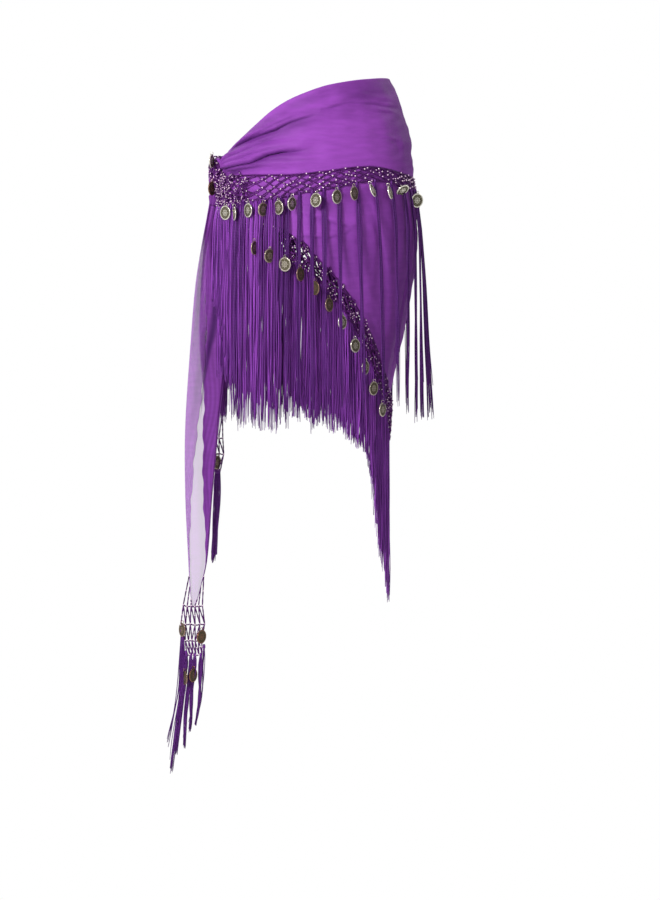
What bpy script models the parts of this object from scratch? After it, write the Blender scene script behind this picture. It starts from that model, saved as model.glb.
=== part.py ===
"""Belly dance hip scarf: a bordered triangular shawl, folded over, wound once round the hips and tied.

Metres, +Z up. The hollow form is the one it has when worn. The photographed side, the wearer's back,
faces -Y, and the knot is at -X. The origin is on the figure's upright axis, at the middle height of
the slanting top edge.
"""

import math
import random
from bisect import bisect_right

import bmesh
import bpy
from mathutils import Matrix, Vector

SEAM = 0.0003
SEAM_DROP = 0.0010
CLOTH = 0.0016
UNDER_OUT = CLOTH
UPPER_OUT = CLOTH + 0.0011
CORD = 0.0009

# Nets: cells along one half or one tip, rows of cells, and the size of a cell.
UPPER_CELLS, UPPER_CELL_ROWS, UPPER_CELL = 16, 2, (0.025, 0.017)
UNDER_CELLS, UNDER_CELL_ROWS, UNDER_CELL = 20, 1.5, (0.027, 0.022)
LONG_TIP_CELLS, LONG_TIP_CELL = (4, 2.5), (0.009, 0.048)
SHORT_TIP_CELLS, SHORT_TIP_CELL = (3, 1.5), (0.008, 0.048)

STRIP_HEIGHT = 0.003
STRIP_STEP = 7
STRAND_WIDTH = 0.0034
STRAND_TIP = 0.0018
STRAND_DEPTH = 0.0015
UPPER_TIP = -0.478
UPPER_TIP_RIGHT = -0.452
UNDER_STRANDS = 30
LONG_TASSELS = {"count": 7, "shift": -0.022, "tips": (-1.060, -1.025)}
SHORT_TASSELS = {"count": 5, "shift": -0.006, "tips": (-0.715, -0.700)}
TAIL_UNEVEN = 0.004

# Length of the short sides' fringe: shorter over the middle of each side than at the point and the knot.
UNDER_FRINGE = {
    "turn": (-70, -12, 10, 28, 42, 58, 122, 138, 152, 170, 192, 260),
    "length": (0.262, 0.250, 0.212, 0.178, 0.186, 0.262, 0.262, 0.186, 0.178, 0.212, 0.250, 0.262),
}

# Where strands stand out most as they pass over the hips: the height, and how far out they are there.
UPPER_SWING = {"height": -0.150, "out": 0.0047}
UNDER_SWING = {"height": -0.195, "out": CLOTH / 2}

COIN_RADIUS = 0.0115
COIN_DEPTH = 0.0012
COIN_SIDES = 12
COIN_TAB = 0.0022
SHORTEST_TAB = 0.003

# How much farther out a coin's foot is than its tab, and more on the steep part of the lower border.
UPPER_COIN_RISE = 0.0040
UNDER_COIN_RISE = 0.0008
STEEP_COIN_RISE = 0.0085
STEEP_FROM = -0.205
STEEP_OVER = 0.060

KNOT_CENTRE = Vector((-0.1630, -0.0060, -0.0780))
KNOT_HALF = Vector((0.0210, 0.0190, 0.0370))
KNOT_POWER = 3.0
KNOT_FURROW = 0.0045

# The figure at each height: half its width, half its depth, and how far its middle lies forward.
FIGURE = {
    "height": (-0.500, -0.436, -0.350, -0.267, -0.195, -0.140, -0.090, -0.045, 0.000, 0.045, 0.085),
    "width": (0.1140, 0.1190, 0.1360, 0.1520, 0.1625, 0.1600, 0.1540, 0.1470, 0.1400, 0.1260, 0.1120),
    "depth": (0.0920, 0.0980, 0.1060, 0.1140, 0.1200, 0.1190, 0.1160, 0.1110, 0.1050, 0.0960, 0.0880),
    "forward": (0.000, 0.000, -0.003, -0.006, -0.010, -0.012, -0.010, -0.007, -0.003, 0.000, 0.000),
}

# Angles run from the back's middle (0) over the wearer's right side (90) and front (180) to the knot.
UPPER = {
    "turn": (-90, -60, -46, -34, -23, -11, 5, 19, 33, 45, 65, 90, 120, 150, 180, 210, 240, 270),
    "top": (-0.050, -0.020, 0.003, 0.026, 0.042, 0.054, 0.066, 0.072, 0.076, 0.078, 0.080, 0.079,
            0.068, 0.052, 0.032, 0.008, -0.022, -0.050),
    "hem": (-0.079, -0.077, -0.076, -0.076, -0.076, -0.075, -0.070, -0.065, -0.063, -0.066, -0.075, -0.083,
            -0.086, -0.084, -0.082, -0.080, -0.079, -0.079),
    "border": (-0.124, -0.119, -0.117, -0.116, -0.112, -0.104, -0.098, -0.090, -0.085, -0.086, -0.096, -0.102,
               -0.108, -0.110, -0.112, -0.114, -0.118, -0.124),
}
UNDER = {
    "turn": (-90, -60, -37, -21, -8, 4, 13, 24, 32, 40, 51, 64, 77, 90,
             103, 116, 129, 140, 150, 160, 172, 186, 203, 225, 245, 270),
    "hem": (-0.113, -0.130, -0.145, -0.162, -0.187, -0.221, -0.247, -0.285, -0.313, -0.341, -0.377, -0.409,
            -0.436, -0.455, -0.434, -0.404, -0.370, -0.337, -0.305, -0.272, -0.236, -0.202, -0.174, -0.152,
            -0.134, -0.113),
    "border": (-0.150, -0.160, -0.176, -0.197, -0.221, -0.255, -0.281, -0.319, -0.346, -0.376, -0.413, -0.449,
               -0.480, -0.502, -0.478, -0.444, -0.407, -0.372, -0.338, -0.305, -0.269, -0.236, -0.209, -0.185,
               -0.165, -0.150),
}

# Ridges of the folded-over layer, from the knot outwards.
RIDGES = {
    "turn_from": (-82, -66, -82, 262, 255, 262, 62),
    "height_from": (-0.050, -0.024, -0.067, -0.050, -0.030, -0.067, -0.030),
    "turn_to": (-2, 26, 4, 190, 160, 184, 118),
    "height_to": (-0.018, 0.038, -0.050, -0.012, 0.024, -0.052, -0.014),
    "half_width": (0.010, 0.010, 0.008, 0.010, 0.010, 0.008, 0.016),
    "lift": (0.0085, 0.0075, 0.0060, 0.0080, 0.0070, 0.0055, 0.0030),
}
RIDGE_TURN_SIZE = 0.0022

# The tails at each height: their two edges across, and the depth of each edge.
LONG_TAIL = {
    "height": (-0.789, -0.762, -0.710, -0.602, -0.488, -0.345, -0.255, -0.195, -0.150, -0.1155),
    "left": (-0.2075, -0.2110, -0.2140, -0.2185, -0.2180, -0.2080, -0.2000, -0.1905, -0.1820, -0.1760),
    "right": (-0.2035, -0.1955, -0.1830, -0.1740, -0.1630, -0.1500, -0.1620, -0.1660, -0.1600, -0.1560),
    "left_depth": (-0.0120, -0.0120, -0.0120, -0.0130, -0.0130, -0.0140, -0.0160, -0.0175, -0.0150, -0.0100),
    "right_depth": (-0.0120, -0.0120, -0.0120, -0.0100, -0.0090, -0.0070, -0.0040, -0.0030, -0.0060, -0.0080),
    "wave": (0.0000, 0.0008, 0.0020, 0.0030, 0.0035, 0.0035, 0.0030, 0.0020, 0.0012, 0.0008),
}
SHORT_TAIL = {
    "height": (-0.505, -0.470, -0.420, -0.345, -0.255, -0.195, -0.150, -0.1155),
    "left": (-0.1690, -0.1790, -0.1890, -0.1950, -0.1920, -0.1870, -0.1800, -0.1740),
    "right": (-0.1640, -0.1560, -0.1520, -0.1550, -0.1640, -0.1680, -0.1620, -0.1560),
    "left_depth": (0.0080, 0.0080, 0.0085, 0.0085, 0.0080, 0.0060, 0.0030, 0.0000),
    "right_depth": (0.0080, 0.0080, 0.0075, 0.0075, 0.0080, 0.0075, 0.0040, 0.0000),
    "wave": (0.0000, 0.0006, 0.0012, 0.0015, 0.0015, 0.0012, 0.0008, 0.0004),
}
LONG_TAIL_NET = {
    "height": (-0.866, -0.848, -0.832, -0.801, -0.770, -0.735),
    "left": (-0.2170, -0.2210, -0.2250, -0.2270, -0.2230, -0.2160),
    "right": (-0.1920, -0.1900, -0.1880, -0.1870, -0.1880, -0.1850),
}
SHORT_TAIL_NET = {
    "height": (-0.562, -0.540, -0.515, -0.485),
    "left": (-0.1740, -0.1770, -0.1790, -0.1830),
    "right": (-0.1590, -0.1560, -0.1540, -0.1530),
}
TAIL_NET_OUT = 0.0022

# Coins by where they hang in the photograph: across and up to the middle of the disc.
UPPER_COINS = (
    (-0.149, -0.137), (-0.134, -0.138), (-0.111, -0.132), (-0.086, -0.129), (-0.062, -0.128),
    (-0.040, -0.121), (-0.001, -0.114), (0.031, -0.107), (0.058, -0.099), (0.084, -0.099),
    (0.1135, -0.1045), (0.1380, -0.1080),
)
UNDER_COINS = (
    (-0.101, -0.187), (-0.076, -0.200), (-0.052, -0.216), (-0.028, -0.234), (-0.004, -0.256),
    (0.018, -0.283), (0.039, -0.311), (0.060, -0.349), (0.077, -0.385), (0.091, -0.419),
    (0.105, -0.454),
)
FRONT_COIN_TURNS = (90, 107, 126, 146, 166, 186, 206, 226, 246)

# Coins on the knot: across, height, and how far behind the knot's foremost point they may lie.
KNOT_COINS = ((-0.172, -0.054, 0.0), (-0.172, -0.098, 0.0013))

# Coins on the tails' nets: across, height, and how many coins lie behind each one.
LONG_TAIL_COINS = ((-0.2240, -0.825, 0), (-0.1920, -0.8365, 0), (-0.2060, -0.901, 0), (-0.2200, -0.905, 1))
SHORT_TAIL_COINS = ((-0.1660, -0.549, 0),)

VIOLET = (0.330, 0.050, 0.600, 1.0)
DARK_VIOLET = (0.060, 0.005, 0.110, 1.0)
OLD_SILVER = (0.460, 0.420, 0.320, 1.0)

random.seed(11)


def curve(table, column, at, by):
    """Smooth value of one column of a table at a place along another of its columns."""
    xs = table[by]
    ys = table[column]
    at = min(max(at, xs[0]), xs[-1])
    k = min(max(bisect_right(xs, at) - 1, 0), len(xs) - 2)
    span = xs[k + 1] - xs[k]
    t = (at - xs[k]) / span

    def slope(i):
        before = max(i - 1, 0)
        after = min(i + 1, len(xs) - 1)
        return (ys[after] - ys[before]) / (xs[after] - xs[before])

    rise = ys[k + 1] - ys[k]
    start = slope(k) * span
    end = slope(k + 1) * span
    return ys[k] + start * t + (3 * rise - 2 * start - end) * t**2 + (start + end - 2 * rise) * t**3


def figure(height):
    """Half width, half depth and forward shift of the figure at a height."""
    return [curve(FIGURE, column, height, "height") for column in ("width", "depth", "forward")]


def outward(turn, height):
    """Level direction that points straight out of the figure."""
    wide, deep, _ = figure(height)
    angle = math.radians(turn)
    return Vector((math.sin(angle) / wide, -math.cos(angle) / deep, 0)).normalized()


def place(turn, height, out):
    """Point at an angle round the figure, a height, and a distance out from it."""
    wide, deep, forward = figure(height)
    angle = math.radians(turn)
    on_figure = Vector((wide * math.sin(angle), forward - deep * math.cos(angle), height))
    return on_figure + out * outward(turn, height)


def turn_at(across, height, out):
    """Angle on the photographed side where a point lies so far across."""
    wide = figure(height)[0] + out
    return math.degrees(math.asin(max(-1, min(1, across / wide))))


def turn_size(turn, height):
    """Metres along the figure for each degree round it."""
    step = place(turn + 0.5, height, 0) - place(turn - 0.5, height, 0)
    return step.length


def knot_end(height):
    """Angles at which the cloth, coming from the back and from the front, meets the knot."""
    _, deep, forward = figure(height)
    reach = KNOT_HALF.y * 0.96 + SEAM
    back = math.degrees(math.acos((forward - KNOT_CENTRE.y + reach) / deep))
    front = math.degrees(math.acos((KNOT_CENTRE.y + reach - forward) / deep))
    return -back, 180 + front


def ridge(turn, height):
    """How far the folded-over layer stands out at a place, from all its ridges."""
    lift = 0.0
    for k in range(len(RIDGES["lift"])):
        ax, az = RIDGES["turn_from"][k] * RIDGE_TURN_SIZE, RIDGES["height_from"][k]
        bx, bz = RIDGES["turn_to"][k] * RIDGE_TURN_SIZE, RIDGES["height_to"][k]
        px, pz = turn * RIDGE_TURN_SIZE, height
        length2 = (bx - ax) ** 2 + (bz - az) ** 2
        along = ((px - ax) * (bx - ax) + (pz - az) * (bz - az)) / length2
        side = math.hypot(px - ax - along * (bx - ax), pz - az - along * (bz - az))
        fade = max(0.0, min(1.0, (along + 0.05) / 0.1)) * max(0.0, min(1.0, (1.15 - along) / 0.8))
        lift += RIDGES["lift"][k] * fade * math.exp(-((side / RIDGES["half_width"][k]) ** 2))
    return lift


def material(name, colour, roughness, metallic=0.0):
    """Plain finish of one slot."""
    made = bpy.data.materials.new(name)
    made.use_nodes = True
    shader = made.node_tree.nodes["Principled BSDF"]
    shader.inputs["Base Color"].default_value = colour
    shader.inputs["Roughness"].default_value = roughness
    shader.inputs["Metallic"].default_value = metallic
    made.diffuse_color = colour
    return made


def add(name, bm, slot):
    """New object of a finished bmesh, in the scarf's collection."""
    mesh = bpy.data.meshes.new(name)
    bm.to_mesh(mesh)
    bm.free()
    made = bpy.data.objects.new(name, mesh)
    made.data.materials.append(slot)
    bpy.data.collections["Hip scarf"].objects.link(made)
    return made


def grid(columns, rows):
    """Flat grid of faces, from (0, 0) to (columns, rows), to be bent into place."""
    bm = bmesh.new()
    bmesh.ops.create_grid(bm, x_segments=columns, y_segments=rows, size=0.5)
    for vert in bm.verts:
        vert.co.x = (vert.co.x + 0.5) * columns
        vert.co.y = (vert.co.y + 0.5) * rows
    return bm


def shell(name, bm, put, slot, thickness, side):
    """Cloth wall: the flat grid's points moved by put, and thickened on one side."""
    for vert in bm.verts:
        vert.co = put(vert.co.x, vert.co.y)
    made = add(name, bm, slot)
    wall = made.modifiers.new("Wall", "SOLIDIFY")
    wall.thickness = thickness
    wall.offset = side
    return made


def lattice(columns, rows, cell_width, cell_height):
    """Band of diamond holes, its lower edge left in points, with solid half cells at its top and ends."""
    bm = bmesh.new()
    count = 2 * math.ceil((columns + rows + 4) / 2)
    bmesh.ops.create_grid(bm, x_segments=count, y_segments=count, size=count / 2)
    bmesh.ops.rotate(bm, verts=bm.verts, matrix=Matrix.Rotation(math.radians(45), 3, "Z"))
    bmesh.ops.scale(bm, verts=bm.verts, vec=(math.sqrt(0.5), math.sqrt(0.5), 1))
    bmesh.ops.translate(bm, verts=bm.verts, vec=(columns // 2, math.ceil(rows / 2), 0))
    for point, normal in (((0, 0, 0), (-1, 0, 0)), ((columns, 0, 0), (1, 0, 0)),
                          ((0, 0, 0), (0, -1, 0)), ((0, rows, 0), (0, 1, 0))):
        bmesh.ops.bisect_plane(bm, geom=bm.verts[:] + bm.edges[:] + bm.faces[:], dist=0.001,
                               plane_co=point, plane_no=normal, clear_outer=True)
    points = [face for face in bm.faces if len(face.verts) == 3 and face.calc_center_median().y < 0.25]
    bmesh.ops.delete(bm, geom=points, context="FACES")
    bmesh.ops.scale(bm, verts=bm.verts, vec=(cell_width, cell_height, 1))
    holes = [face for face in bm.faces if len(face.verts) == 4]
    bmesh.ops.inset_individual(bm, faces=holes, thickness=CORD, use_even_offset=True)
    bmesh.ops.delete(bm, geom=holes, context="FACES")
    return bm


def even_line(table, column, start, end):
    """Angles at even lengths along an edge of the scarf, from one angle to another."""
    steps = 240
    turns = [start + (end - start) * k / steps for k in range(steps + 1)]
    points = [place(turn, curve(table, column, turn, "turn"), 0) for turn in turns]
    lengths = [0.0]
    for one, other in zip(points, points[1:]):
        lengths.append(lengths[-1] + (other - one).length)
    return {"length": lengths, "turn": turns}


def turn_along(line, share):
    """Angle at a share of an even line's whole length."""
    lengths, turns = line["length"], line["turn"]
    want = min(max(share, 0), 1) * lengths[-1]
    k = min(bisect_right(lengths, want), len(lengths) - 1)
    part = (want - lengths[k - 1]) / (lengths[k] - lengths[k - 1])
    return turns[k - 1] + (turns[k] - turns[k - 1]) * part


def halves():
    """The back and front stretches of the border, from the knot to the wearer's right side."""
    knot_back, knot_front = knot_end(KNOT_CENTRE.z)
    parting = math.degrees(SEAM / 2 / figure(UPPER["border"][11])[1])
    return {"back": (knot_back, 90 - parting), "front": (90 + parting, knot_front)}


def cloth_turns(table, back_columns, front_columns):
    """Angles of a wrap's columns, from the knot round to the knot, in step with its border's cells."""
    spans = halves()
    back = even_line(table, "border", *spans["back"])
    front = even_line(table, "border", *spans["front"])
    turns = [turn_along(back, k / back_columns) for k in range(back_columns)]
    return turns + [turn_along(front, k / front_columns) for k in range(front_columns + 1)]


def upper_wrap(slot):
    """The folded-over long side, with the fold that closes the top edge."""
    rows, fold_rows = 7, 2
    turns = cloth_turns(UPPER, 2 * UPPER_CELLS, UPPER_CELLS)
    fold_out = {1: UPPER_OUT * 0.95, 2: UPPER_OUT * 0.15}

    def put(x, y):
        turn = turns[round(x)]
        top = curve(UPPER, "top", turn, "turn")
        hem = curve(UPPER, "hem", turn, "turn") + SEAM_DROP / 2
        if y > rows:
            return place(turn, top, fold_out[round(y - rows)])
        height = hem + (top - SEAM - hem) * y / rows
        edge = min(1.0, y / 1.2, (rows - y) / 1.2)
        return place(turn, height, UPPER_OUT + ridge(turn, height) * edge)

    return shell("upper_wrap", grid(len(turns) - 1, rows + fold_rows), put, slot, CLOTH, 1)


def under_wrap(slot):
    """The deep part of the triangle, from just under the fold down to its border."""
    rows, upper_rows = 10, 3
    turns = cloth_turns(UNDER, UNDER_CELLS, UNDER_CELLS)
    fold_depth, fold_turn = 0.0022, 17.0

    def put(x, y):
        turn = turns[round(x)]
        top = curve(UPPER, "top", turn, "turn") - 2 * SEAM
        under_border = curve(UPPER, "border", turn, "turn")
        hem = curve(UNDER, "hem", turn, "turn") + SEAM_DROP
        waist = max(min(under_border, top - 0.01), hem + 0.004)
        if y >= rows - upper_rows:
            height = waist + (top - waist) * (y - rows + upper_rows) / upper_rows
        else:
            height = hem + (waist - hem) * y / (rows - upper_rows)
        hang = max(0.0, min(1.0, (-0.150 - height) / 0.12))
        edge = min(1.0, y / 1.5)
        fold = fold_depth * hang * edge * (1 + math.sin(math.radians(turn * 360 / fold_turn / 2)))
        return place(turn, height, UNDER_OUT - fold)

    return shell("under_wrap", grid(len(turns) - 1, rows), put, slot, CLOTH, -1)


def border_net(name, table, span, cells, cell_size, out, side, slot):
    """Net border between the cloth's hem and the fringe's strip, its diamonds cut through."""
    columns, rows = cells
    line = even_line(table, "border", *span)

    def put(x, y):
        turn = turn_along(line, x / (columns * cell_size[0]))
        hem = curve(table, "hem", turn, "turn") - SEAM_DROP / 2
        border = curve(table, "border", turn, "turn")
        return place(turn, border + (hem - border) * y / (rows * cell_size[1]), out)

    return shell(name, lattice(columns, rows, *cell_size), put, slot, CLOTH, side)


def fringe(name, roots, stations, put_strip, put_strand, levels, slot):
    """Strip with strands hanging from it: modelled flat in steps, each point then put in its place.

    roots holds the station number where each strand begins; the strand ends at the next station.
    """
    bm = grid(len(stations) - 1, 1)
    below = bmesh.ops.extrude_face_region(bm, geom=bm.faces[:])
    for item in below["geom"]:
        if isinstance(item, bmesh.types.BMVert):
            item.co.z -= 1
    bmesh.ops.recalc_face_normals(bm, faces=bm.faces)
    starts = set(roots)
    tips = [face for face in bm.faces
            if face.normal.y < -0.9 and round(min(v.co.x for v in face.verts)) in starts]
    for _ in range(levels):
        grown = bmesh.ops.extrude_discrete_faces(bm, faces=tips)
        tips = grown["faces"]
        for face in tips:
            for vert in face.verts:
                vert.co.y -= 1
    bmesh.ops.remove_doubles(bm, verts=bm.verts, dist=0.001)
    owner = {}
    for number, start in enumerate(roots):
        owner[start] = (number, -1)
        owner[start + 1] = (number, 1)
    for vert in bm.verts:
        station, level, face = round(vert.co.x), round(vert.co.y), round(vert.co.z)
        if level >= 0:
            vert.co = put_strip(stations[station], level, face + 1)
        else:
            number, hand = owner[station]
            vert.co = put_strand(number, hand, -level, face + 1)
    bmesh.ops.recalc_face_normals(bm, faces=bm.faces)
    return add(name, bm, slot)


def border_fringe(name, table, span, strands, out, swing, slot):
    """Fringe of one stretch of border. Each strand is (angle, lean across, tip height, tip out)."""
    stations, roots = [], []
    last = span[0]
    half = STRAND_WIDTH / 2
    for turn, *_ in strands:
        border = curve(table, "border", turn, "turn")
        reach = half / turn_size(turn, border)
        gap = turn - reach - last
        steps = math.ceil(gap / STRIP_STEP)
        stations.extend(last + gap * k / steps for k in range(steps))
        roots.append(len(stations))
        stations.append(turn - reach)
        last = turn + reach
    stations.append(last)
    gap = span[1] - last
    steps = math.ceil(gap / STRIP_STEP)
    stations.extend(last + gap * k / steps for k in range(1, steps + 1))

    def put_strip(turn, level, outer):
        border = curve(table, "border", turn, "turn") - SEAM
        return place(turn, border - STRIP_HEIGHT * (1 - level), out + CLOTH * outer)

    def put_strand(number, hand, level, outer):
        turn, lean, tip, tip_out = strands[number]
        border = curve(table, "border", turn, "turn") - SEAM - STRIP_HEIGHT
        bulge = max(min(border - 0.004, swing["height"]), tip)
        knee = place(turn, bulge, out + swing["out"])
        facing = outward(turn, bulge)
        across = Vector((-facing.y, facing.x, 0))
        depth = (outer - 0.5) * STRAND_DEPTH
        if level == 1:
            return knee + across * (hand * STRAND_WIDTH * 0.45 + lean * 0.1) + facing * depth
        end = Vector((knee.x, knee.y, tip)) + facing * tip_out
        return end + across * (hand * STRAND_TIP / 2 + lean) + facing * depth * 0.8

    return fringe(name, roots, stations, put_strip, put_strand, 2, slot)


def tail(name, table, columns, rows, waves, slot):
    """Hanging corner of the shawl: a strip of cloth that waves across its width."""
    bottom, top = table["height"][0], table["height"][-1]

    def put(x, y):
        height = bottom + (top - bottom) * y / rows
        share = x / columns
        left, right, left_depth, right_depth, wave = (
            curve(table, column, height, "height")
            for column in ("left", "right", "left_depth", "right_depth", "wave"))
        depth = left_depth + (right_depth - left_depth) * share
        turn = 2 * math.pi * waves * share + 9 * (height - top)
        return Vector((left + (right - left) * share, depth + wave * math.sin(turn), height))

    return shell(name, grid(columns, rows), put, slot, CLOTH, 0)


def tail_net(name, table, cloth, cells, cell_size, slot):
    """Net round a tail's tip, in front of its cloth."""
    columns, rows = cells
    bottom, top = table["height"][0], table["height"][-1]

    def put(x, y):
        height = bottom + (top - bottom) * y / (rows * cell_size[1])
        share = x / (columns * cell_size[0])
        left = curve(table, "left", height, "height")
        right = curve(table, "right", height, "height")
        at = max(height, cloth["height"][0])
        depth = curve(cloth, "left_depth", at, "height")
        wave = curve(cloth, "wave", at, "height")
        return Vector((left + (right - left) * share, depth - wave - TAIL_NET_OUT, height))

    return shell(name, lattice(columns, rows, *cell_size), put, slot, CLOTH, 0)


def tail_fringe(name, table, cloth, strands, slot):
    """Strands under a tail's net, hanging from a short strip: (share across, shift, tip height)."""
    bottom = table["height"][0] - SEAM
    left, right = table["left"][0], table["right"][0]
    depth = cloth["left_depth"][0] - cloth["wave"][0] - TAIL_NET_OUT
    width = right - left
    half = STRAND_WIDTH * 0.4 / width
    stations, roots = [0.0], []
    for share, *_ in strands:
        roots.append(len(stations))
        stations.extend((share - half, share + half))
    stations.append(1.0)

    def put_strip(share, level, outer):
        height = bottom - STRIP_HEIGHT * (1 - level)
        return Vector((left + width * share, depth + CLOTH * (0.5 - outer), height))

    def put_strand(number, hand, level, outer):
        share, shift, tip = strands[number]
        part = level / 2
        height = bottom - STRIP_HEIGHT + (tip - bottom) * part
        across = left + width * share + shift * part**1.3
        size = STRAND_WIDTH * 0.4 + (STRAND_TIP / 2 - STRAND_WIDTH * 0.4) * part
        return Vector((across + hand * size, depth + STRAND_DEPTH * (0.5 - outer) * (1 - 0.3 * part), height))

    return fringe(name, roots, stations, put_strip, put_strand, 2, slot)


def knot(slot):
    """The tied corners: a full, twisted bundle."""
    bm = bmesh.new()
    bmesh.ops.create_uvsphere(bm, u_segments=20, v_segments=12, radius=1)
    for vert in bm.verts:
        x, y, z = vert.co
        size = (abs(x) ** KNOT_POWER + abs(y) ** KNOT_POWER + abs(z) ** KNOT_POWER) ** (-1 / KNOT_POWER)
        around = math.atan2(y, x)
        furrow = max(0.0, math.cos(3 * around + 5.5 * z)) ** 2 * (1 - z * z) * KNOT_FURROW
        full = Vector((x * KNOT_HALF.x, y * KNOT_HALF.y, z * KNOT_HALF.z)) * size
        inward = Vector((x, y, 0))
        vert.co = KNOT_CENTRE + full - inward * furrow
    return add("knot", bm, slot)


def coin(name, top, down, facing, tab, slot):
    """Disc with a hanging tab, its tab's top at a point, hanging along down."""
    bm = bmesh.new()
    bmesh.ops.create_cone(bm, cap_ends=True, segments=COIN_SIDES, radius1=COIN_RADIUS,
                          radius2=COIN_RADIUS, depth=COIN_DEPTH)
    bmesh.ops.rotate(bm, verts=bm.verts, matrix=Matrix.Rotation(math.radians(180 / COIN_SIDES), 3, "Z"))
    upper_side = max(bm.faces, key=lambda face: face.calc_center_median().y)
    grown = bmesh.ops.extrude_discrete_faces(bm, faces=[upper_side])["faces"][0]
    for vert in grown.verts:
        vert.co.y += tab
        vert.co.x = math.copysign(COIN_TAB / 2, vert.co.x)
    bmesh.ops.recalc_face_normals(bm, faces=bm.faces)
    made = add(name, bm, slot)
    up = -down.normalized()
    side = up.cross(facing).normalized()
    out = side.cross(up)
    rotation = Matrix((side, up, out)).transposed()
    made.matrix_world = Matrix.Translation(top - up * (COIN_RADIUS * math.cos(math.pi / COIN_SIDES) + tab))
    made.matrix_world = made.matrix_world @ rotation.to_4x4()
    return made


def border_coin(name, table, turn, centre_height, out, rise, slot):
    """Coin that hangs from the fringe's strip, with a tab as long as its place asks for."""
    strip = curve(table, "border", turn, "turn") - STRIP_HEIGHT / 2
    tab = max(SHORTEST_TAB, strip - centre_height - COIN_RADIUS)
    start_out = out + CLOTH + SEAM + COIN_DEPTH / 2
    top = place(turn, strip, start_out)
    bottom_height = strip - tab - 2 * COIN_RADIUS
    at = max(bottom_height, min(strip, FIGURE["height"][4]))
    below = place(turn, at, start_out + rise)
    bottom = Vector((below.x, below.y, bottom_height))
    return coin(name, top, bottom - top, outward(turn, strip), tab, slot)


def flat_coin(name, across, centre_height, depth, tab, slot):
    """Coin that hangs level, its front towards the back of the wearer."""
    top = Vector((across, depth - SEAM - COIN_DEPTH / 2, centre_height + COIN_RADIUS + tab))
    coin(name, top, Vector((0, 0, -1)), Vector((0, -1, 0)), tab, slot)


def tail_coins(name, table, cloth, places, slot):
    """Coins in front of a tail's net, or on tabs from its strip where they hang below it."""
    for number, (across, height, behind) in enumerate(places):
        depth = curve(cloth, "left_depth", cloth["height"][0], "height") - TAIL_NET_OUT - CLOTH / 2
        tab = max(SHORTEST_TAB, table["height"][0] - STRIP_HEIGHT / 2 - height - COIN_RADIUS)
        flat_coin(f"{name}_{number}", across, height, depth - behind * (COIN_DEPTH + SEAM), tab, slot)


def coins(slot):
    """All the coins: round the fold, along the short sides, on the knot and on both tips."""
    for number, (across, height) in enumerate(UPPER_COINS):
        turn = turn_at(across, height, UPPER_OUT + CLOTH)
        border_coin(f"upper_coin_{number:02d}", UPPER, turn, height, UPPER_OUT, UPPER_COIN_RISE, slot)
    for number, (across, height) in enumerate(UNDER_COINS):
        turn = turn_at(across, height, UNDER_OUT)
        steep = max(0.0, min(1.0, (STEEP_FROM - height) / STEEP_OVER))
        rise = UNDER_COIN_RISE + STEEP_COIN_RISE * steep
        border_coin(f"under_coin_{number:02d}", UNDER, turn, height, 0, rise, slot)
    for number, turn in enumerate(FRONT_COIN_TURNS):
        height = curve(UPPER, "border", turn, "turn") - COIN_RADIUS - 0.004
        border_coin(f"front_coin_{number:02d}", UPPER, turn, height, UPPER_OUT, UPPER_COIN_RISE, slot)
    for number, (across, height, set_back) in enumerate(KNOT_COINS):
        depth = KNOT_CENTRE.y - KNOT_HALF.y + set_back
        flat_coin(f"knot_coin_{number}", across, height, depth, SHORTEST_TAB, slot)
    tail_coins("long_tail_coin", LONG_TAIL_NET, LONG_TAIL, LONG_TAIL_COINS, slot)
    tail_coins("short_tail_coin", SHORT_TAIL_NET, SHORT_TAIL, SHORT_TAIL_COINS, slot)


def upper_strands(half, span):
    """Strands of the long side: close together near the knot, one lock to a cell farther round."""
    strands = []
    turn = span[0] + 1.6 if half == "back" else span[0] + 2
    while turn < span[1] - 1.2:
        near_knot = turn < -16 if half == "back" else turn > 236
        lean = random.uniform(-0.003, 0.003)
        if half == "back":
            lean += 0.012 * math.sin(math.radians(max(0.0, min(180.0, turn * 2.4))))
        tip = UPPER_TIP + random.uniform(-0.014, 0.010)
        if 10 < turn < 45:
            tip = UPPER_TIP_RIGHT + random.uniform(-0.010, 0.008)
        strands.append((turn, lean, tip, random.uniform(0.0, 0.004)))
        turn += (3.4 if near_knot else 6.2) + random.uniform(-0.4, 0.4)
    return strands


def under_strands(span):
    """Strands of the two short sides, closer together where the border runs steeply."""
    strands = []
    line = even_line(UNDER, "border", *span)
    for k in range(UNDER_STRANDS):
        turn = turn_along(line, (k + 0.5 + random.uniform(-0.15, 0.15)) / UNDER_STRANDS)
        border = curve(UNDER, "border", turn, "turn")
        length = curve(UNDER_FRINGE, "length", turn, "turn") + random.uniform(-0.012, 0.012)
        strands.append((turn, random.uniform(-0.0012, 0.0012), border - length, random.uniform(0.0, 0.002)))
    return strands


def tail_strands(count, shift, tips):
    """Strands under a tail, swept aside together."""
    strands = []
    for k in range(count):
        share = (k + 0.6) / (count + 0.2)
        tip = tips[0] + (tips[1] - tips[0]) * k / (count - 1) + random.uniform(-TAIL_UNEVEN, TAIL_UNEVEN)
        strands.append((share, shift * (1.1 - 0.2 * share), tip))
    return strands


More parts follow.
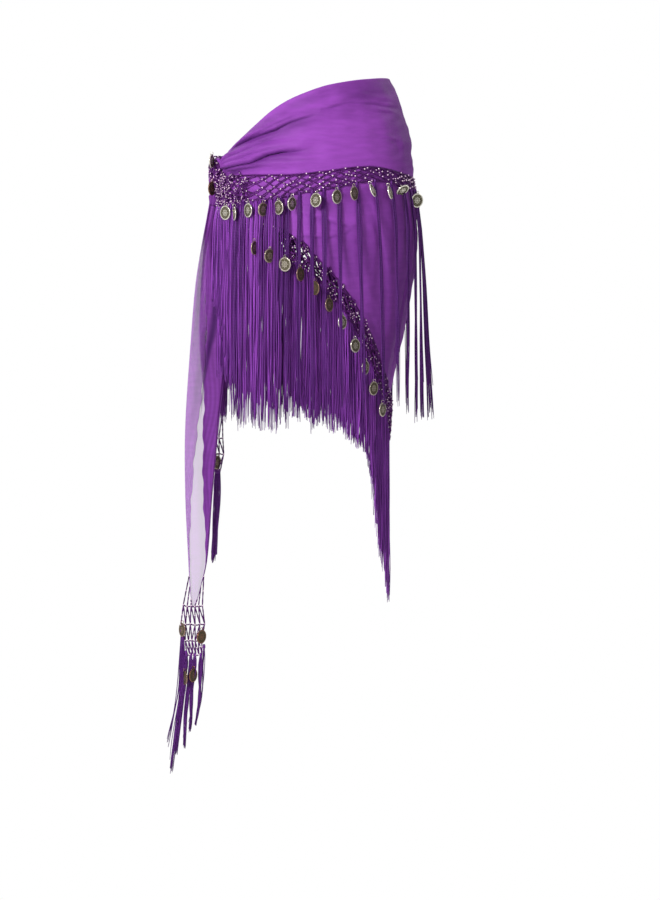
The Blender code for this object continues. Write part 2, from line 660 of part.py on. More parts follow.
def make():
    """The whole scarf, each solid under its own name."""
    for old in list(bpy.data.objects):
        bpy.data.objects.remove(old)
    scarf = bpy.data.collections.new("Hip scarf")
    bpy.context.scene.collection.children.link(scarf)
    chiffon = material("Violet chiffon", VIOLET, 0.55)
    yarn = material("Dark violet yarn", DARK_VIOLET, 0.5)
    metal = material("Old silver", OLD_SILVER, 0.35, 1.0)

    upper_wrap(chiffon)
    under_wrap(chiffon)
    knot(chiffon)
    tail("long_tail", LONG_TAIL, 8, 20, 1.25, chiffon)
    tail("short_tail", SHORT_TAIL, 6, 12, 1.0, chiffon)

    for half, span in halves().items():
        upper_cells = (UPPER_CELLS, UPPER_CELL_ROWS)
        under_cells = (UNDER_CELLS, UNDER_CELL_ROWS)
        border_net(f"upper_net_{half}", UPPER, span, upper_cells, UPPER_CELL, UPPER_OUT, 1, yarn)
        border_net(f"under_net_{half}", UNDER, span, under_cells, UNDER_CELL, UNDER_OUT, -1, yarn)
        strands = upper_strands(half, span)
        border_fringe(f"upper_fringe_{half}", UPPER, span, strands, UPPER_OUT, UPPER_SWING, yarn)
        border_fringe(f"under_fringe_{half}", UNDER, span, under_strands(span), 0, UNDER_SWING, yarn)
    tail_net("long_tail_net", LONG_TAIL_NET, LONG_TAIL, LONG_TIP_CELLS, LONG_TIP_CELL, yarn)
    tail_net("short_tail_net", SHORT_TAIL_NET, SHORT_TAIL, SHORT_TIP_CELLS, SHORT_TIP_CELL, yarn)
    tail_fringe("long_tail_tassels", LONG_TAIL_NET, LONG_TAIL, tail_strands(**LONG_TASSELS), yarn)
    tail_fringe("short_tail_fringe", SHORT_TAIL_NET, SHORT_TAIL, tail_strands(**SHORT_TASSELS), yarn)
    coins(metal)


make()
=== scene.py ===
"""Looks of the belly dance hip scarf: violet chiffon, crocheted net with beads, old silver coins and fringe.

Metres, +Z up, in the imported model's frame. The scarf has its worn, hollow form. The photographed side,
the wearer's back, faces -Y, and the knot is at -X. Sizes and tables repeat those of the solids.
"""

import math
import random
from bisect import bisect_right

import bpy
import numpy as np
from bpy.props import FloatProperty, FloatVectorProperty, IntProperty, PointerProperty
from mathutils import Matrix, Vector


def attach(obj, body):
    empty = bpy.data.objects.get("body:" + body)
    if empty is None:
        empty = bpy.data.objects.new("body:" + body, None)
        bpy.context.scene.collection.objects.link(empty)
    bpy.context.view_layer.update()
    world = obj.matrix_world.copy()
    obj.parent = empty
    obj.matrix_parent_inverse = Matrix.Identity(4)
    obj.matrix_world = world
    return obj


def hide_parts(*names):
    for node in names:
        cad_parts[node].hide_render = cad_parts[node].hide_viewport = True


bl_info = {
    "name": "Belly dance hip scarf",
    "version": (1, 0, 0),
    "blender": (4, 5, 0),
    "location": "View3D > Sidebar > Hip scarf",
    "description": "Builds the chiffon, net, beads, coins and fringe of a worn hip scarf",
    "category": "Add Mesh",
}

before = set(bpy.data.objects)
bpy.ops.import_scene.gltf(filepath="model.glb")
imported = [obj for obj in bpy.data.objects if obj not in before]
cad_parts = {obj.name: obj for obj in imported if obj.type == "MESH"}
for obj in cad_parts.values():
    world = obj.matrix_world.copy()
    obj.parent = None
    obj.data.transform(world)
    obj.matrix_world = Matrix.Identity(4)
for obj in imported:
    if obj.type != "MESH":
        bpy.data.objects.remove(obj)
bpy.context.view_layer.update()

SEAM = 0.0003
CLOTH = 0.0016
UPPER_OUT = CLOTH + 0.0011
STRIP_HEIGHT = 0.003
COIN_RADIUS = 0.0115
ARC = 0.0024

KNOT_CENTRE = np.array((-0.1630, -0.0060, -0.0780))
KNOT_HALF = np.array((0.0210, 0.0190, 0.0370))

# The figure at each height: half its width, half its depth, and how far its middle lies forward.
FIGURE = {
    "height": (-0.500, -0.436, -0.350, -0.267, -0.195, -0.140, -0.090, -0.045, 0.000, 0.045, 0.085),
    "width": (0.1140, 0.1190, 0.1360, 0.1520, 0.1625, 0.1600, 0.1540, 0.1470, 0.1400, 0.1260, 0.1120),
    "depth": (0.0920, 0.0980, 0.1060, 0.1140, 0.1200, 0.1190, 0.1160, 0.1110, 0.1050, 0.0960, 0.0880),
    "forward": (0.000, 0.000, -0.003, -0.006, -0.010, -0.012, -0.010, -0.007, -0.003, 0.000, 0.000),
}

# Angles run from the back's middle (0) over the wearer's right side (90) and front (180) to the knot.
UPPER = {
    "turn": (-90, -60, -46, -34, -23, -11, 5, 19, 33, 45, 65, 90, 120, 150, 180, 210, 240, 270),
    "top": (-0.050, -0.020, 0.003, 0.026, 0.042, 0.054, 0.066, 0.072, 0.076, 0.078, 0.080, 0.079,
            0.068, 0.052, 0.032, 0.008, -0.022, -0.050),
    "hem": (-0.079, -0.077, -0.076, -0.076, -0.076, -0.075, -0.070, -0.065, -0.063, -0.066, -0.075, -0.083,
            -0.086, -0.084, -0.082, -0.080, -0.079, -0.079),
    "border": (-0.124, -0.119, -0.117, -0.116, -0.112, -0.104, -0.098, -0.090, -0.085, -0.086, -0.096, -0.102,
               -0.108, -0.110, -0.112, -0.114, -0.118, -0.124),
}
UNDER = {
    "turn": (-90, -60, -37, -21, -8, 4, 13, 24, 32, 40, 51, 64, 77, 90,
             103, 116, 129, 140, 150, 160, 172, 186, 203, 225, 245, 270),
    "hem": (-0.113, -0.130, -0.145, -0.162, -0.187, -0.221, -0.247, -0.285, -0.313, -0.341, -0.377, -0.409,
            -0.436, -0.455, -0.434, -0.404, -0.370, -0.337, -0.305, -0.272, -0.236, -0.202, -0.174, -0.152,
            -0.134, -0.113),
    "border": (-0.150, -0.160, -0.176, -0.197, -0.221, -0.255, -0.281, -0.319, -0.346, -0.376, -0.413, -0.449,
               -0.480, -0.502, -0.478, -0.444, -0.407, -0.372, -0.338, -0.305, -0.269, -0.236, -0.209, -0.185,
               -0.165, -0.150),
}

# Ridges of the folded-over layer, from the knot outwards.
RIDGES = {
    "turn_from": (-82, -66, -82, 262, 255, 262, 62),
    "height_from": (-0.050, -0.024, -0.067, -0.050, -0.030, -0.067, -0.030),
    "turn_to": (-2, 26, 4, 190, 160, 184, 118),
    "height_to": (-0.018, 0.038, -0.050, -0.012, 0.024, -0.052, -0.014),
    "half_width": (0.010, 0.010, 0.008, 0.010, 0.010, 0.008, 0.016),
    "lift": (0.0085, 0.0075, 0.0060, 0.0080, 0.0070, 0.0055, 0.0030),
}
RIDGE_TURN_SIZE = 0.0022

# Creases of the folded-over layer as (turn, height) lines: half width, depth of the trough, height of
# its upper lip, and how far the cloth above laps down over it. Shade is painted along each trough,
# darker the deeper it is.
UPPER_CREASES = (
    {"line": ((-80, -0.064), (-71, -0.062), (-44.5, -0.0535), (-31.6, -0.041), (-23, -0.0365),
              (-12.6, -0.036), (1, -0.031)),
     "half_width": 0.0046, "trough": 0.0070, "lip": 0.0036, "lap": 0.0044},
    {"line": ((-72, -0.036), (-58, -0.025), (-27, -0.0017), (-17, 0.0107), (-2, 0.0215), (13, 0.0225)),
     "half_width": 0.0042, "trough": 0.0044, "lip": 0.0024, "lap": 0.0022},
    {"line": ((-78, -0.052), (-55, -0.039), (-34, -0.020), (-14, -0.010)),
     "half_width": 0.0032, "trough": 0.0024, "lip": 0.0016, "lap": 0.0006},
    {"line": ((-79, -0.057), (-52, -0.046), (-30, -0.031), (-8, -0.022)),
     "half_width": 0.0028, "trough": 0.0020, "lip": 0.0014, "lap": 0.0004},
    {"line": ((-64, -0.034), (-44, -0.012), (-24, 0.012), (-6, 0.030)),
     "half_width": 0.0036, "trough": 0.0022, "lip": 0.0018, "lap": 0.0004},
    {"line": ((-9, 0.024), (6, 0.031), (20, 0.034)),
     "half_width": 0.0040, "trough": 0.0012, "lip": 0.0014, "lap": 0.0006},
    {"line": ((30, 0.024), (48, 0.026), (68, 0.022)),
     "half_width": 0.0030, "trough": 0.0012, "lip": 0.0010, "lap": 0.0004},
    {"line": ((4, 0.030), (20, 0.041), (40, 0.040), (62, 0.034), (82, 0.030)),
     "half_width": 0.0038, "trough": 0.0020, "lip": 0.0020, "lap": 0.0008},
    {"line": ((12, 0.043), (30, 0.050), (52, 0.044), (76, 0.040)),
     "half_width": 0.0034, "trough": 0.0014, "lip": 0.0016, "lap": 0.0006},
    {"line": ((-40, -0.052), (-20, -0.048), (4, -0.052)),
     "half_width": 0.0026, "trough": 0.0012, "lip": 0.0010, "lap": 0.0004},
    {"line": ((-6, 0.050), (6, 0.058), (18, 0.063)),
     "half_width": 0.0032, "trough": 0.0014, "lip": 0.0014, "lap": 0.0006},
    {"line": ((42, -0.013), (53, -0.019), (63, -0.026)),
     "half_width": 0.0022, "trough": 0.0010, "lip": 0.0006, "lap": 0.0003},
    {"line": ((-78, -0.071), (-60, -0.069), (-38, -0.063), (-14, -0.058)),
     "half_width": 0.0022, "trough": 0.0014, "lip": 0.0006, "lap": 0.0004},
    {"line": ((58, 0.044), (90, 0.024), (118, 0.016)),
     "half_width": 0.0080, "trough": 0.0012, "lip": 0.0010, "lap": 0.0000},
    {"line": ((64, -0.026), (98, -0.042), (126, -0.040)),
     "half_width": 0.0090, "trough": 0.0005, "lip": 0.0003, "lap": 0.0000},
    {"line": ((260, -0.062), (240, -0.052), (216, -0.036), (190, -0.026), (168, -0.022)),
     "half_width": 0.0034, "trough": 0.0060, "lip": 0.0030, "lap": 0.0044},
    {"line": ((252, -0.040), (232, -0.022), (208, -0.004), (182, 0.010), (160, 0.022)),
     "half_width": 0.0028, "trough": 0.0036, "lip": 0.0018, "lap": 0.0024},
    {"line": ((258, -0.052), (236, -0.038), (210, -0.020), (188, -0.010)),
     "half_width": 0.0022, "trough": 0.0014, "lip": 0.0008, "lap": 0.0006},
    {"line": ((257, -0.070), (236, -0.066), (204, -0.060), (176, -0.058)),
     "half_width": 0.0024, "trough": 0.0016, "lip": 0.0008, "lap": 0.0006},
    {"line": ((196, 0.000), (168, 0.016), (140, 0.034)),
     "half_width": 0.0030, "trough": 0.0014, "lip": 0.0010, "lap": 0.0006},
)

# Creases of the deep layer, in the same terms.
UNDER_CREASES = (
    {"line": ((-6, -0.140), (6, -0.148), (16, -0.158)),
     "half_width": 0.0035, "trough": 0.0016, "lip": 0.0012, "lap": 0.0006},
    {"line": ((-8, -0.172), (4, -0.176), (14, -0.170), (26, -0.154)),
     "half_width": 0.0030, "trough": 0.0018, "lip": 0.0014, "lap": 0.0008},
    {"line": ((8, -0.150), (18, -0.156), (28, -0.160)),
     "half_width": 0.0028, "trough": 0.0012, "lip": 0.0010, "lap": 0.0004},
    {"line": ((34, -0.130), (42, -0.200), (50, -0.290), (56, -0.360)),
     "half_width": 0.0060, "trough": 0.0018, "lip": 0.0016, "lap": 0.0000},
    {"line": ((66, -0.130), (70, -0.220), (74, -0.320), (80, -0.410)),
     "half_width": 0.0070, "trough": 0.0026, "lip": 0.0020, "lap": 0.0000},
    {"line": ((100, -0.130), (100, -0.220), (98, -0.320), (96, -0.420)),
     "half_width": 0.0070, "trough": 0.0026, "lip": 0.0020, "lap": 0.0000},
    {"line": ((128, -0.130), (124, -0.210), (118, -0.300), (112, -0.370)),
     "half_width": 0.0065, "trough": 0.0022, "lip": 0.0018, "lap": 0.0000},
    {"line": ((158, -0.135), (152, -0.185), (146, -0.250), (140, -0.310)),
     "half_width": 0.0060, "trough": 0.0020, "lip": 0.0016, "lap": 0.0000},
    {"line": ((188, -0.140), (170, -0.150), (150, -0.146)),
     "half_width": 0.0030, "trough": 0.0016, "lip": 0.0012, "lap": 0.0006},
)

# Painted shade: patches where the cloth's colour is darkened to stand for shade in hollows and under folds,
# and where the cloth lies double: angle, height, reach round and up, rise of height for each degree, and how much.
UPPER_PAINTED_SHADE = (
    (50, 0.064, 42, 0.017, 0.0001, 0.46), (80, -0.018, 32, 0.080, 0.0, 0.50),
    (-4, 0.046, 22, 0.009, 0.0009, 0.24),
    (-38, 0.004, 20, 0.009, 0.0012, 0.28), (-31, -0.0445, 18, 0.0055, 0.0006, 0.60),
    (-60, -0.0715, 9, 0.0040, 0.0001, 0.75), (6, 0.026, 26, 0.006, 0.0001, 0.20),
    (38, 0.056, 22, 0.012, 0.0004, 0.52),
    (34, 0.018, 40, 0.006, 0.0001, 0.16), (-50, -0.058, 26, 0.010, 0.0003, 0.34),
    (230, -0.050, 34, 0.014, 0.0, 0.30),
    (150, 0.030, 40, 0.020, -0.0008, 0.22), (112, -0.030, 26, 0.030, 0.0, 0.22),
)
UNDER_PAINTED_SHADE = (
    (66, -0.220, 30, 0.300, 0.0, 0.46), (112, -0.240, 24, 0.240, 0.0, 0.34),
    (10, -0.118, 90, 0.022, 0.0, 0.26),
    (40, -0.300, 16, 0.120, 0.0, 0.14), (165, -0.118, 70, 0.022, 0.0, 0.26),
    (24, -0.200, 18, 0.050, 0.0, 0.30),
)

# The tails at each height: their two edges across, and the depth of each edge.
LONG_TAIL = {
    "height": (-0.789, -0.762, -0.710, -0.602, -0.488, -0.345, -0.255, -0.195, -0.150, -0.1155),
    "left": (-0.2075, -0.2110, -0.2140, -0.2185, -0.2180, -0.2080, -0.2000, -0.1905, -0.1820, -0.1760),
    "right": (-0.2035, -0.1955, -0.1830, -0.1740, -0.1630, -0.1500, -0.1620, -0.1660, -0.1600, -0.1560),
    "left_depth": (-0.0120, -0.0120, -0.0120, -0.0130, -0.0130, -0.0140, -0.0160, -0.0175, -0.0150, -0.0100),
    "right_depth": (-0.0120, -0.0120, -0.0120, -0.0100, -0.0090, -0.0070, -0.0040, -0.0030, -0.0060, -0.0080),
    "wave": (0.0000, 0.0008, 0.0020, 0.0030, 0.0035, 0.0035, 0.0030, 0.0020, 0.0012, 0.0008),
}
SHORT_TAIL = {
    "height": (-0.505, -0.470, -0.420, -0.345, -0.255, -0.195, -0.150, -0.1155),
    "left": (-0.1690, -0.1790, -0.1890, -0.1950, -0.1920, -0.1870, -0.1800, -0.1740),
    "right": (-0.1640, -0.1560, -0.1520, -0.1550, -0.1640, -0.1680, -0.1620, -0.1560),
    "left_depth": (0.0080, 0.0080, 0.0085, 0.0085, 0.0080, 0.0060, 0.0030, 0.0000),
    "right_depth": (0.0080, 0.0080, 0.0075, 0.0075, 0.0080, 0.0075, 0.0040, 0.0000),
    "wave": (0.0000, 0.0006, 0.0012, 0.0015, 0.0015, 0.0012, 0.0008, 0.0004),
}

# Where the folded-back bands of each tail end, as shares of its width from the left, and the side
# layers' distance in front of the middle one.
LONG_BANDS = {
    "height": (-0.789, -0.720, -0.690, -0.602, -0.520, -0.470, -0.400, -0.330, -0.255, -0.1155),
    "left_band": (0.03, 0.05, 0.10, 0.24, 0.34, 0.40, 0.42, 0.42, 0.44, 0.46),
    "right_band": (0.97, 0.94, 0.86, 0.66, 0.56, 0.52, 0.46, 0.44, 0.42, 0.40),
}
# The deep shadow between the long tail's bands: its place across, as a share, and half its width.
TAIL_SHADOW = {
    "height": (-0.480, -0.430, -0.363, -0.318, -0.280, -0.240),
    "across": (0.44, 0.45, 0.52, 0.66, 0.78, 0.86),
    "half_width": (0.015, 0.040, 0.120, 0.190, 0.120, 0.020),
    "depth": (0.0, 0.70, 1.0, 1.0, 1.0, 0.0),
}
SHORT_BANDS = {
    "height": (-0.505, -0.470, -0.420, -0.345, -0.255, -0.1155),
    "left_band": (0.05, 0.15, 0.30, 0.40, 0.45, 0.48),
    "right_band": (0.95, 0.85, 0.70, 0.60, 0.55, 0.50),
}
LONG_TAIL_NET = {
    "height": (-0.866, -0.848, -0.832, -0.801, -0.770, -0.735),
    "left": (-0.2170, -0.2210, -0.2250, -0.2270, -0.2230, -0.2160),
    "right": (-0.1920, -0.1900, -0.1880, -0.1870, -0.1880, -0.1850),
}
SHORT_TAIL_NET = {
    "height": (-0.562, -0.540, -0.515, -0.485),
    "left": (-0.1740, -0.1770, -0.1790, -0.1830),
    "right": (-0.1590, -0.1560, -0.1540, -0.1530),
}
TAIL_NET_OUT = 0.0022

# Length of the short sides' fringe: shorter over the middle of each side than at the point and the knot.
UNDER_FRINGE = {
    "turn": (-70, -12, 10, 28, 42, 58, 122, 138, 152, 170, 192, 260),
    "length": (0.262, 0.250, 0.212, 0.178, 0.186, 0.262, 0.262, 0.186, 0.178, 0.212, 0.250, 0.262),
}

# Tassels of the long corner: where each starts and ends across and in height, its width and threads.
LONG_TASSELS = (
    (-0.2255, -0.826, -0.2470, -1.021, 0.0020, 4), (-0.2232, -0.838, -0.2405, -1.064, 0.0060, 15),
    (-0.2180, -0.862, -0.2345, -1.034, 0.0056, 13), (-0.2105, -0.866, -0.2240, -1.024, 0.0062, 15),
    (-0.2035, -0.866, -0.2165, -0.996, 0.0052, 12), (-0.1935, -0.866, -0.2040, -0.986, 0.0050, 12),
    (-0.1885, -0.852, -0.2010, -0.980, 0.0020, 4), (-0.2170, -0.866, -0.2290, -0.975, 0.0030, 6),
)

# Separate locks of the fold's fringe, right of the back's middle: angle, lean across, tip height, tip out.
BACK_LOCKS = (
    (-17.0, -0.001, -0.482, 0.002), (-10.4, 0.000, -0.478, 0.002), (-3.0, 0.001, -0.486, 0.002),
    (3.6, 0.002, -0.474, 0.002), (12.3, 0.003, -0.450, 0.002), (23.6, 0.008, -0.452, 0.002),
    (35.8, 0.010, -0.448, 0.002), (48.9, 0.004, -0.446, 0.002), (61.0, -0.004, -0.458, 0.002),
    (71.0, -0.002, -0.476, 0.002), (79.0, 0.003, -0.470, 0.006), (84.5, 0.000, -0.474, 0.013),
    (88.2, 0.000, -0.466, 0.016), (89.4, 0.000, -0.474, 0.020),
)

# Coins by where they hang in the photograph: across, height, the way they face (0 is towards the
# photographed side, positive to its right), lean sideways, tip back, and tone from copper to silver.
UPPER_COINS = (
    (-0.149, -0.137, -44, 0, 0, 1.00), (-0.134, -0.138, -76, 0, 0, 0.80), (-0.111, -0.132, -56, 2, 0, 1.00),
    (-0.086, -0.129, 52, 6, 0, 0.35), (-0.062, -0.128, -50, 0, 0, 0.80), (-0.040, -0.121, 56, 3, 0, 0.80),
    (-0.001, -0.114, -42, 8, 0, 0.90), (0.031, -0.107, 50, 0, 0, 0.80), (0.058, -0.099, 58, -4, 0, 0.45),
    (0.084, -0.099, 74, -22, 0, 1.00), (0.1135, -0.1045, 76, -14, 0, 1.00),
    (0.1350, -0.1040, 14, -20, 56, 1.00),
)
UNDER_COINS = (
    (-0.101, -0.187, 64, 0, 0, 0.25), (-0.076, -0.200, 46, 3, 0, 0.35), (-0.052, -0.216, -34, 0, 0, 0.62),
    (-0.028, -0.234, 60, -4, 0, 0.10), (-0.004, -0.256, -54, 0, 0, 0.08), (0.018, -0.283, 58, -4, 0, 0.15),
    (0.039, -0.311, 54, -4, 0, 0.85), (0.060, -0.349, 50, -3, 0, 0.70), (0.077, -0.385, 60, 0, 0, 0.60),
    (0.091, -0.419, 52, 3, 0, 0.50), (0.105, -0.454, 62, 0, 0, 0.60),
)
FRONT_COIN_TURNS = (90, 107, 126, 146, 166, 186, 206, 226, 246)
# The first of these as it hangs in the photograph: angle, the way it faces, lean and tone.
SIDE_COIN = (75, 34, 6, 1.0)
# Coins on the knot (across, height, set back, tone, the way they face) and on the corners, which give the
# number of coins that each lies behind in place of how far it is set back.
KNOT_COINS = ((-0.172, -0.054, 0.0, 0.8, 74), (-0.172, -0.098, 0.0013, 0.0, 62))
LONG_TAIL_COINS = (
    (-0.2240, -0.825, 0, 0.12, -62), (-0.1920, -0.8365, 0, 0.0, 52), (-0.2060, -0.901, 0, 0.0, 58),
    (-0.2200, -0.905, 1, 0.1, -66),
)
SHORT_TAIL_COINS = ((-0.1660, -0.549, 0, 0.2, 60),)


def curve(table, column, at, by):
    """Smooth values of one column of a table at places along another of its columns."""
    xs = np.array(table[by], float)
    ys = np.array(table[column], float)
    at = np.clip(np.asarray(at, float), xs[0], xs[-1])
    k = np.clip(np.searchsorted(xs, at, side="right") - 1, 0, len(xs) - 2)
    before = np.maximum(np.arange(len(xs)) - 1, 0)
    after = np.minimum(np.arange(len(xs)) + 1, len(xs) - 1)
    slope = (ys[after] - ys[before]) / (xs[after] - xs[before])
    span = xs[k + 1] - xs[k]
    t = (at - xs[k]) / span
    rise = ys[k + 1] - ys[k]
    start, end = slope[k] * span, slope[k + 1] * span
    return ys[k] + start * t + (3 * rise - 2 * start - end) * t**2 + (start + end - 2 * rise) * t**3


def smooth_step(x):
    """0 below 0, 1 above 1, and a soft rise between."""
    x = np.clip(x, 0, 1)
    return x * x * (3 - 2 * x)


def figure(height):
    """Half width, half depth and forward shift of the figure at heights."""
    return [curve(FIGURE, column, height, "height") for column in ("width", "depth", "forward")]


def outward(turn, height):
    """Level directions that point straight out of the figure."""
    wide, deep, _ = figure(height)
    angle = np.radians(turn)
    facing = np.stack(np.broadcast_arrays(np.sin(angle) / wide, -np.cos(angle) / deep, 0.0), -1)
    return facing / np.linalg.norm(facing, axis=-1, keepdims=True)


def place(turn, height, out):
    """Points at angles round the figure, heights, and distances out from it."""
    wide, deep, forward = figure(height)
    angle = np.radians(turn)
    across, ahead = wide * np.sin(angle), forward - deep * np.cos(angle)
    on_figure = np.stack(np.broadcast_arrays(across, ahead, height), -1)
    return on_figure + np.asarray(out, float)[..., None] * outward(turn, height)


def turn_at(across, height, out):
    """Angle on the photographed side where a point lies so far across."""
    wide = float(figure(height)[0]) + out
    return math.degrees(math.asin(max(-1, min(1, across / wide))))


def knot_end(height):
    """Angles at which the cloth, coming from the back and from the front, meets the knot."""
    _, deep, forward = figure(height)
    reach = KNOT_HALF[1] * 0.96 + SEAM
    back = math.degrees(math.acos((forward - KNOT_CENTRE[1] + reach) / deep))
    front = math.degrees(math.acos((KNOT_CENTRE[1] + reach - forward) / deep))
    return -back, 180 + front


def halves():
    """The back and front stretches of the border, from the knot to the wearer's right side."""
    knot_back, knot_front = knot_end(KNOT_CENTRE[2])
    parting = math.degrees(SEAM / 2 / float(figure(UPPER["border"][11])[1]))
    return {"back": (knot_back, 90 - parting), "front": (90 + parting, knot_front)}


def even_line(table, column, start, end):
    """Angles at even lengths along an edge of the scarf, from one angle to another."""
    steps = 240
    turns = [start + (end - start) * k / steps for k in range(steps + 1)]
    points = place(np.array(turns), curve(table, column, turns, "turn"), 0)
    lengths = [0.0]
    for one, other in zip(points, points[1:]):
        lengths.append(lengths[-1] + float(np.linalg.norm(other - one)))
    return {"length": lengths, "turn": turns}


def turn_along(line, share):
    """Angle at a share of an even line's whole length."""
    lengths, turns = line["length"], line["turn"]
    want = min(max(share, 0), 1) * lengths[-1]
    k = min(bisect_right(lengths, want), len(lengths) - 1)
    part = (want - lengths[k - 1]) / (lengths[k] - lengths[k - 1])
    return turns[k - 1] + (turns[k] - turns[k - 1]) * part


def ridge(turn, height):
    """How far the folded-over layer stands out at places, from all its ridges."""
    lift = np.zeros(np.broadcast(turn, height).shape)
    px, pz = turn * RIDGE_TURN_SIZE, height
    for k in range(len(RIDGES["lift"])):
        ax, az = RIDGES["turn_from"][k] * RIDGE_TURN_SIZE, RIDGES["height_from"][k]
        bx, bz = RIDGES["turn_to"][k] * RIDGE_TURN_SIZE, RIDGES["height_to"][k]
        length2 = (bx - ax) ** 2 + (bz - az) ** 2
        along = ((px - ax) * (bx - ax) + (pz - az) * (bz - az)) / length2
        side = np.hypot(px - ax - along * (bx - ax), pz - az - along * (bz - az))
        fade = np.clip((along + 0.05) / 0.1, 0, 1) * np.clip((1.15 - along) / 0.8, 0, 1)
        lift += RIDGES["lift"][k] * fade * np.exp(-((side / RIDGES["half_width"][k]) ** 2))
    return lift


def crease_field(creases, turn, height):
    """Lift, downward lap and painted crease shade of a cloth at places, from its creases."""
    lift = np.zeros(turn.shape)
    lap = np.zeros(turn.shape)
    shade_mark = np.zeros(turn.shape)
    px, pz = turn * ARC, height
    for crease in creases:
        line = np.array(crease["line"], float) * (ARC, 1)
        lengths = np.concatenate(([0], np.cumsum(np.linalg.norm(np.diff(line, axis=0), axis=1))))
        nearest = np.full(turn.shape, 1e9)
        signed = np.zeros(turn.shape)
        share = np.zeros(turn.shape)
        for k in range(len(line) - 1):
            (ax, az), (bx, bz) = line[k], line[k + 1]
            dx, dz = bx - ax, bz - az
            along = np.clip(((px - ax) * dx + (pz - az) * dz) / (dx**2 + dz**2), 0, 1)
            ox, oz = px - ax - along * dx, pz - az - along * dz
            far = np.hypot(ox, oz)
            closer = far < nearest
            nearest = np.where(closer, far, nearest)
            upper = np.where((oz * dx - ox * dz) * (1 if dx >= 0 else -1) >= 0, 1, -1)
            signed = np.where(closer, far * upper, signed)
            reached = lengths[k] + along * (lengths[k + 1] - lengths[k])
            share = np.where(closer, reached / lengths[-1], share)
        fade = smooth_step((share + 0.10) / 0.22) * smooth_step((1.0 - share) / 0.35)
        s = signed / crease["half_width"]
        lift += fade * (crease["lip"] * np.exp(-(((s - 1.1) / 1.2) ** 2))
                        - crease["trough"] * np.exp(-(((s + 0.5) / 0.85) ** 2)))
        lap += fade * crease["lap"] * smooth_step(s + 1) * np.exp(-np.maximum(s, 0) / 2.2)
        # Painted shade along the crease: a dark core in the trough and a softer band beside it, darker for a deeper
        # trough.
        deep = min(1.0, crease["trough"] / 0.005)
        core = 0.95 * np.exp(-(((s + 0.4) / 0.9) ** 2))
        soft = 0.55 * np.exp(-(((s + 1.5) / 2.6) ** 2))
        shade_mark = np.maximum(shade_mark, fade * deep * np.maximum(core, soft))
    return lift, lap, shade_mark


def painted_shade_patches(patches, turn, height):
    """Painted shade: how much a cloth's colour is darkened at places, for shaded hollows and where it lies double."""
    shade_mark = np.zeros(np.broadcast(turn, height).shape)
    for at, level, wide, high, tilt, much in patches:
        along = (turn - at) / wide
        up = (height - level - tilt * (turn - at)) / high
        shade_mark = np.maximum(shade_mark, much * np.exp(-((along**2 + up**2) ** 2)))
    return shade_mark


def soft_waves(turn, height, size, seed):
    """Small smooth unevenness of a cloth, the same on each run."""
    chance = random.Random(seed)
    total = np.zeros(np.broadcast(turn, height).shape)
    for _ in range(9):
        angle, pitch = chance.uniform(0, math.pi), chance.uniform(0.016, 0.055)
        phase = chance.uniform(0, 2 * math.pi)
        along = turn * ARC * math.cos(angle) + height * math.sin(angle)
        total += np.sin(along * 2 * math.pi / pitch + phase)
    return total * size / 3


def upper_surface(turn, height):
    """Points and painted shade, in creases and patches, of the folded-over layer's outer side."""
    top = curve(UPPER, "top", turn, "turn")
    hem = curve(UPPER, "hem", turn, "turn")
    inside = np.clip(np.minimum((height - hem) / 0.020, (top - height) / 0.020), 0, 1)
    edge = smooth_step(inside)
    lift, lap, shade_mark = crease_field(UPPER_CREASES, turn, height)
    shade_mark = np.maximum(shade_mark, painted_shade_patches(UPPER_PAINTED_SHADE, turn, height))
    puff = 0.0030 * edge + soft_waves(turn, height, 0.0006, 5) * edge
    ridges = ridge(turn, height) * np.clip(inside * 1.6, 0, 1)
    out = UPPER_OUT + 0.0006 + ridges + puff + lift * np.clip(inside * 3, 0, 1)
    return place(turn, height - lap * edge, np.maximum(out, UPPER_OUT + 0.0001)), shade_mark


def under_surface(turn, height):
    """Points and painted shade, in creases and patches, of the deep layer's outer side."""
    top = curve(UPPER, "top", turn, "turn")
    hem = curve(UNDER, "hem", turn, "turn")
    hang = np.clip((-0.150 - height) / 0.12, 0, 1)
    edge = smooth_step((height - hem) / 0.030)
    lift, lap, shade_mark = crease_field(UNDER_CREASES, turn, height)
    shade_mark = np.maximum(shade_mark, painted_shade_patches(UNDER_PAINTED_SHADE, turn, height))
    fold = 0.0022 * hang * edge * (1 + np.sin(np.radians(turn * 360 / 17.0 / 2)))
    behind = smooth_step((height - curve(UPPER, "hem", turn, "turn") + 0.004) / 0.008)
    waves = soft_waves(turn, height, 0.0005, 8) * edge
    out = CLOTH * 0.6 - fold - behind * 0.0022 + (lift * edge + waves) * (1 - behind)
    out = np.where(top - height < 0.004, np.minimum(out, -0.0002), out)
    return place(turn, height - lap * edge, out), shade_mark * (1 - behind)


def new_piece(name, points, faces, finish, uv=None, values=None):
    """New mesh object of points and faces, with a UV map and named values for each point."""
    mesh = bpy.data.meshes.new(name)
    mesh.from_pydata(np.asarray(points, float).reshape(-1, 3).tolist(), [], faces)
    if uv is not None:
        layer = mesh.uv_layers.new(name="UVMap")
        layer.data.foreach_set("uv", np.asarray(uv, np.float32).ravel())
    for key, numbers in (values or {}).items():
        attribute = mesh.attributes.new(key, "FLOAT", "POINT")
        attribute.data.foreach_set("value", np.asarray(numbers, np.float32).ravel())
    mesh.shade_smooth()
    piece = bpy.data.objects.new(name, mesh)
    piece.data.materials.append(finish)
    bpy.context.scene.collection.objects.link(piece)
    return piece


def settle(piece, slot, *nodes):
    """The piece moves with the scarf and stands for its solids, which are hidden; slot is not used."""
    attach(piece, "root")
    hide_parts(*nodes)
    return piece


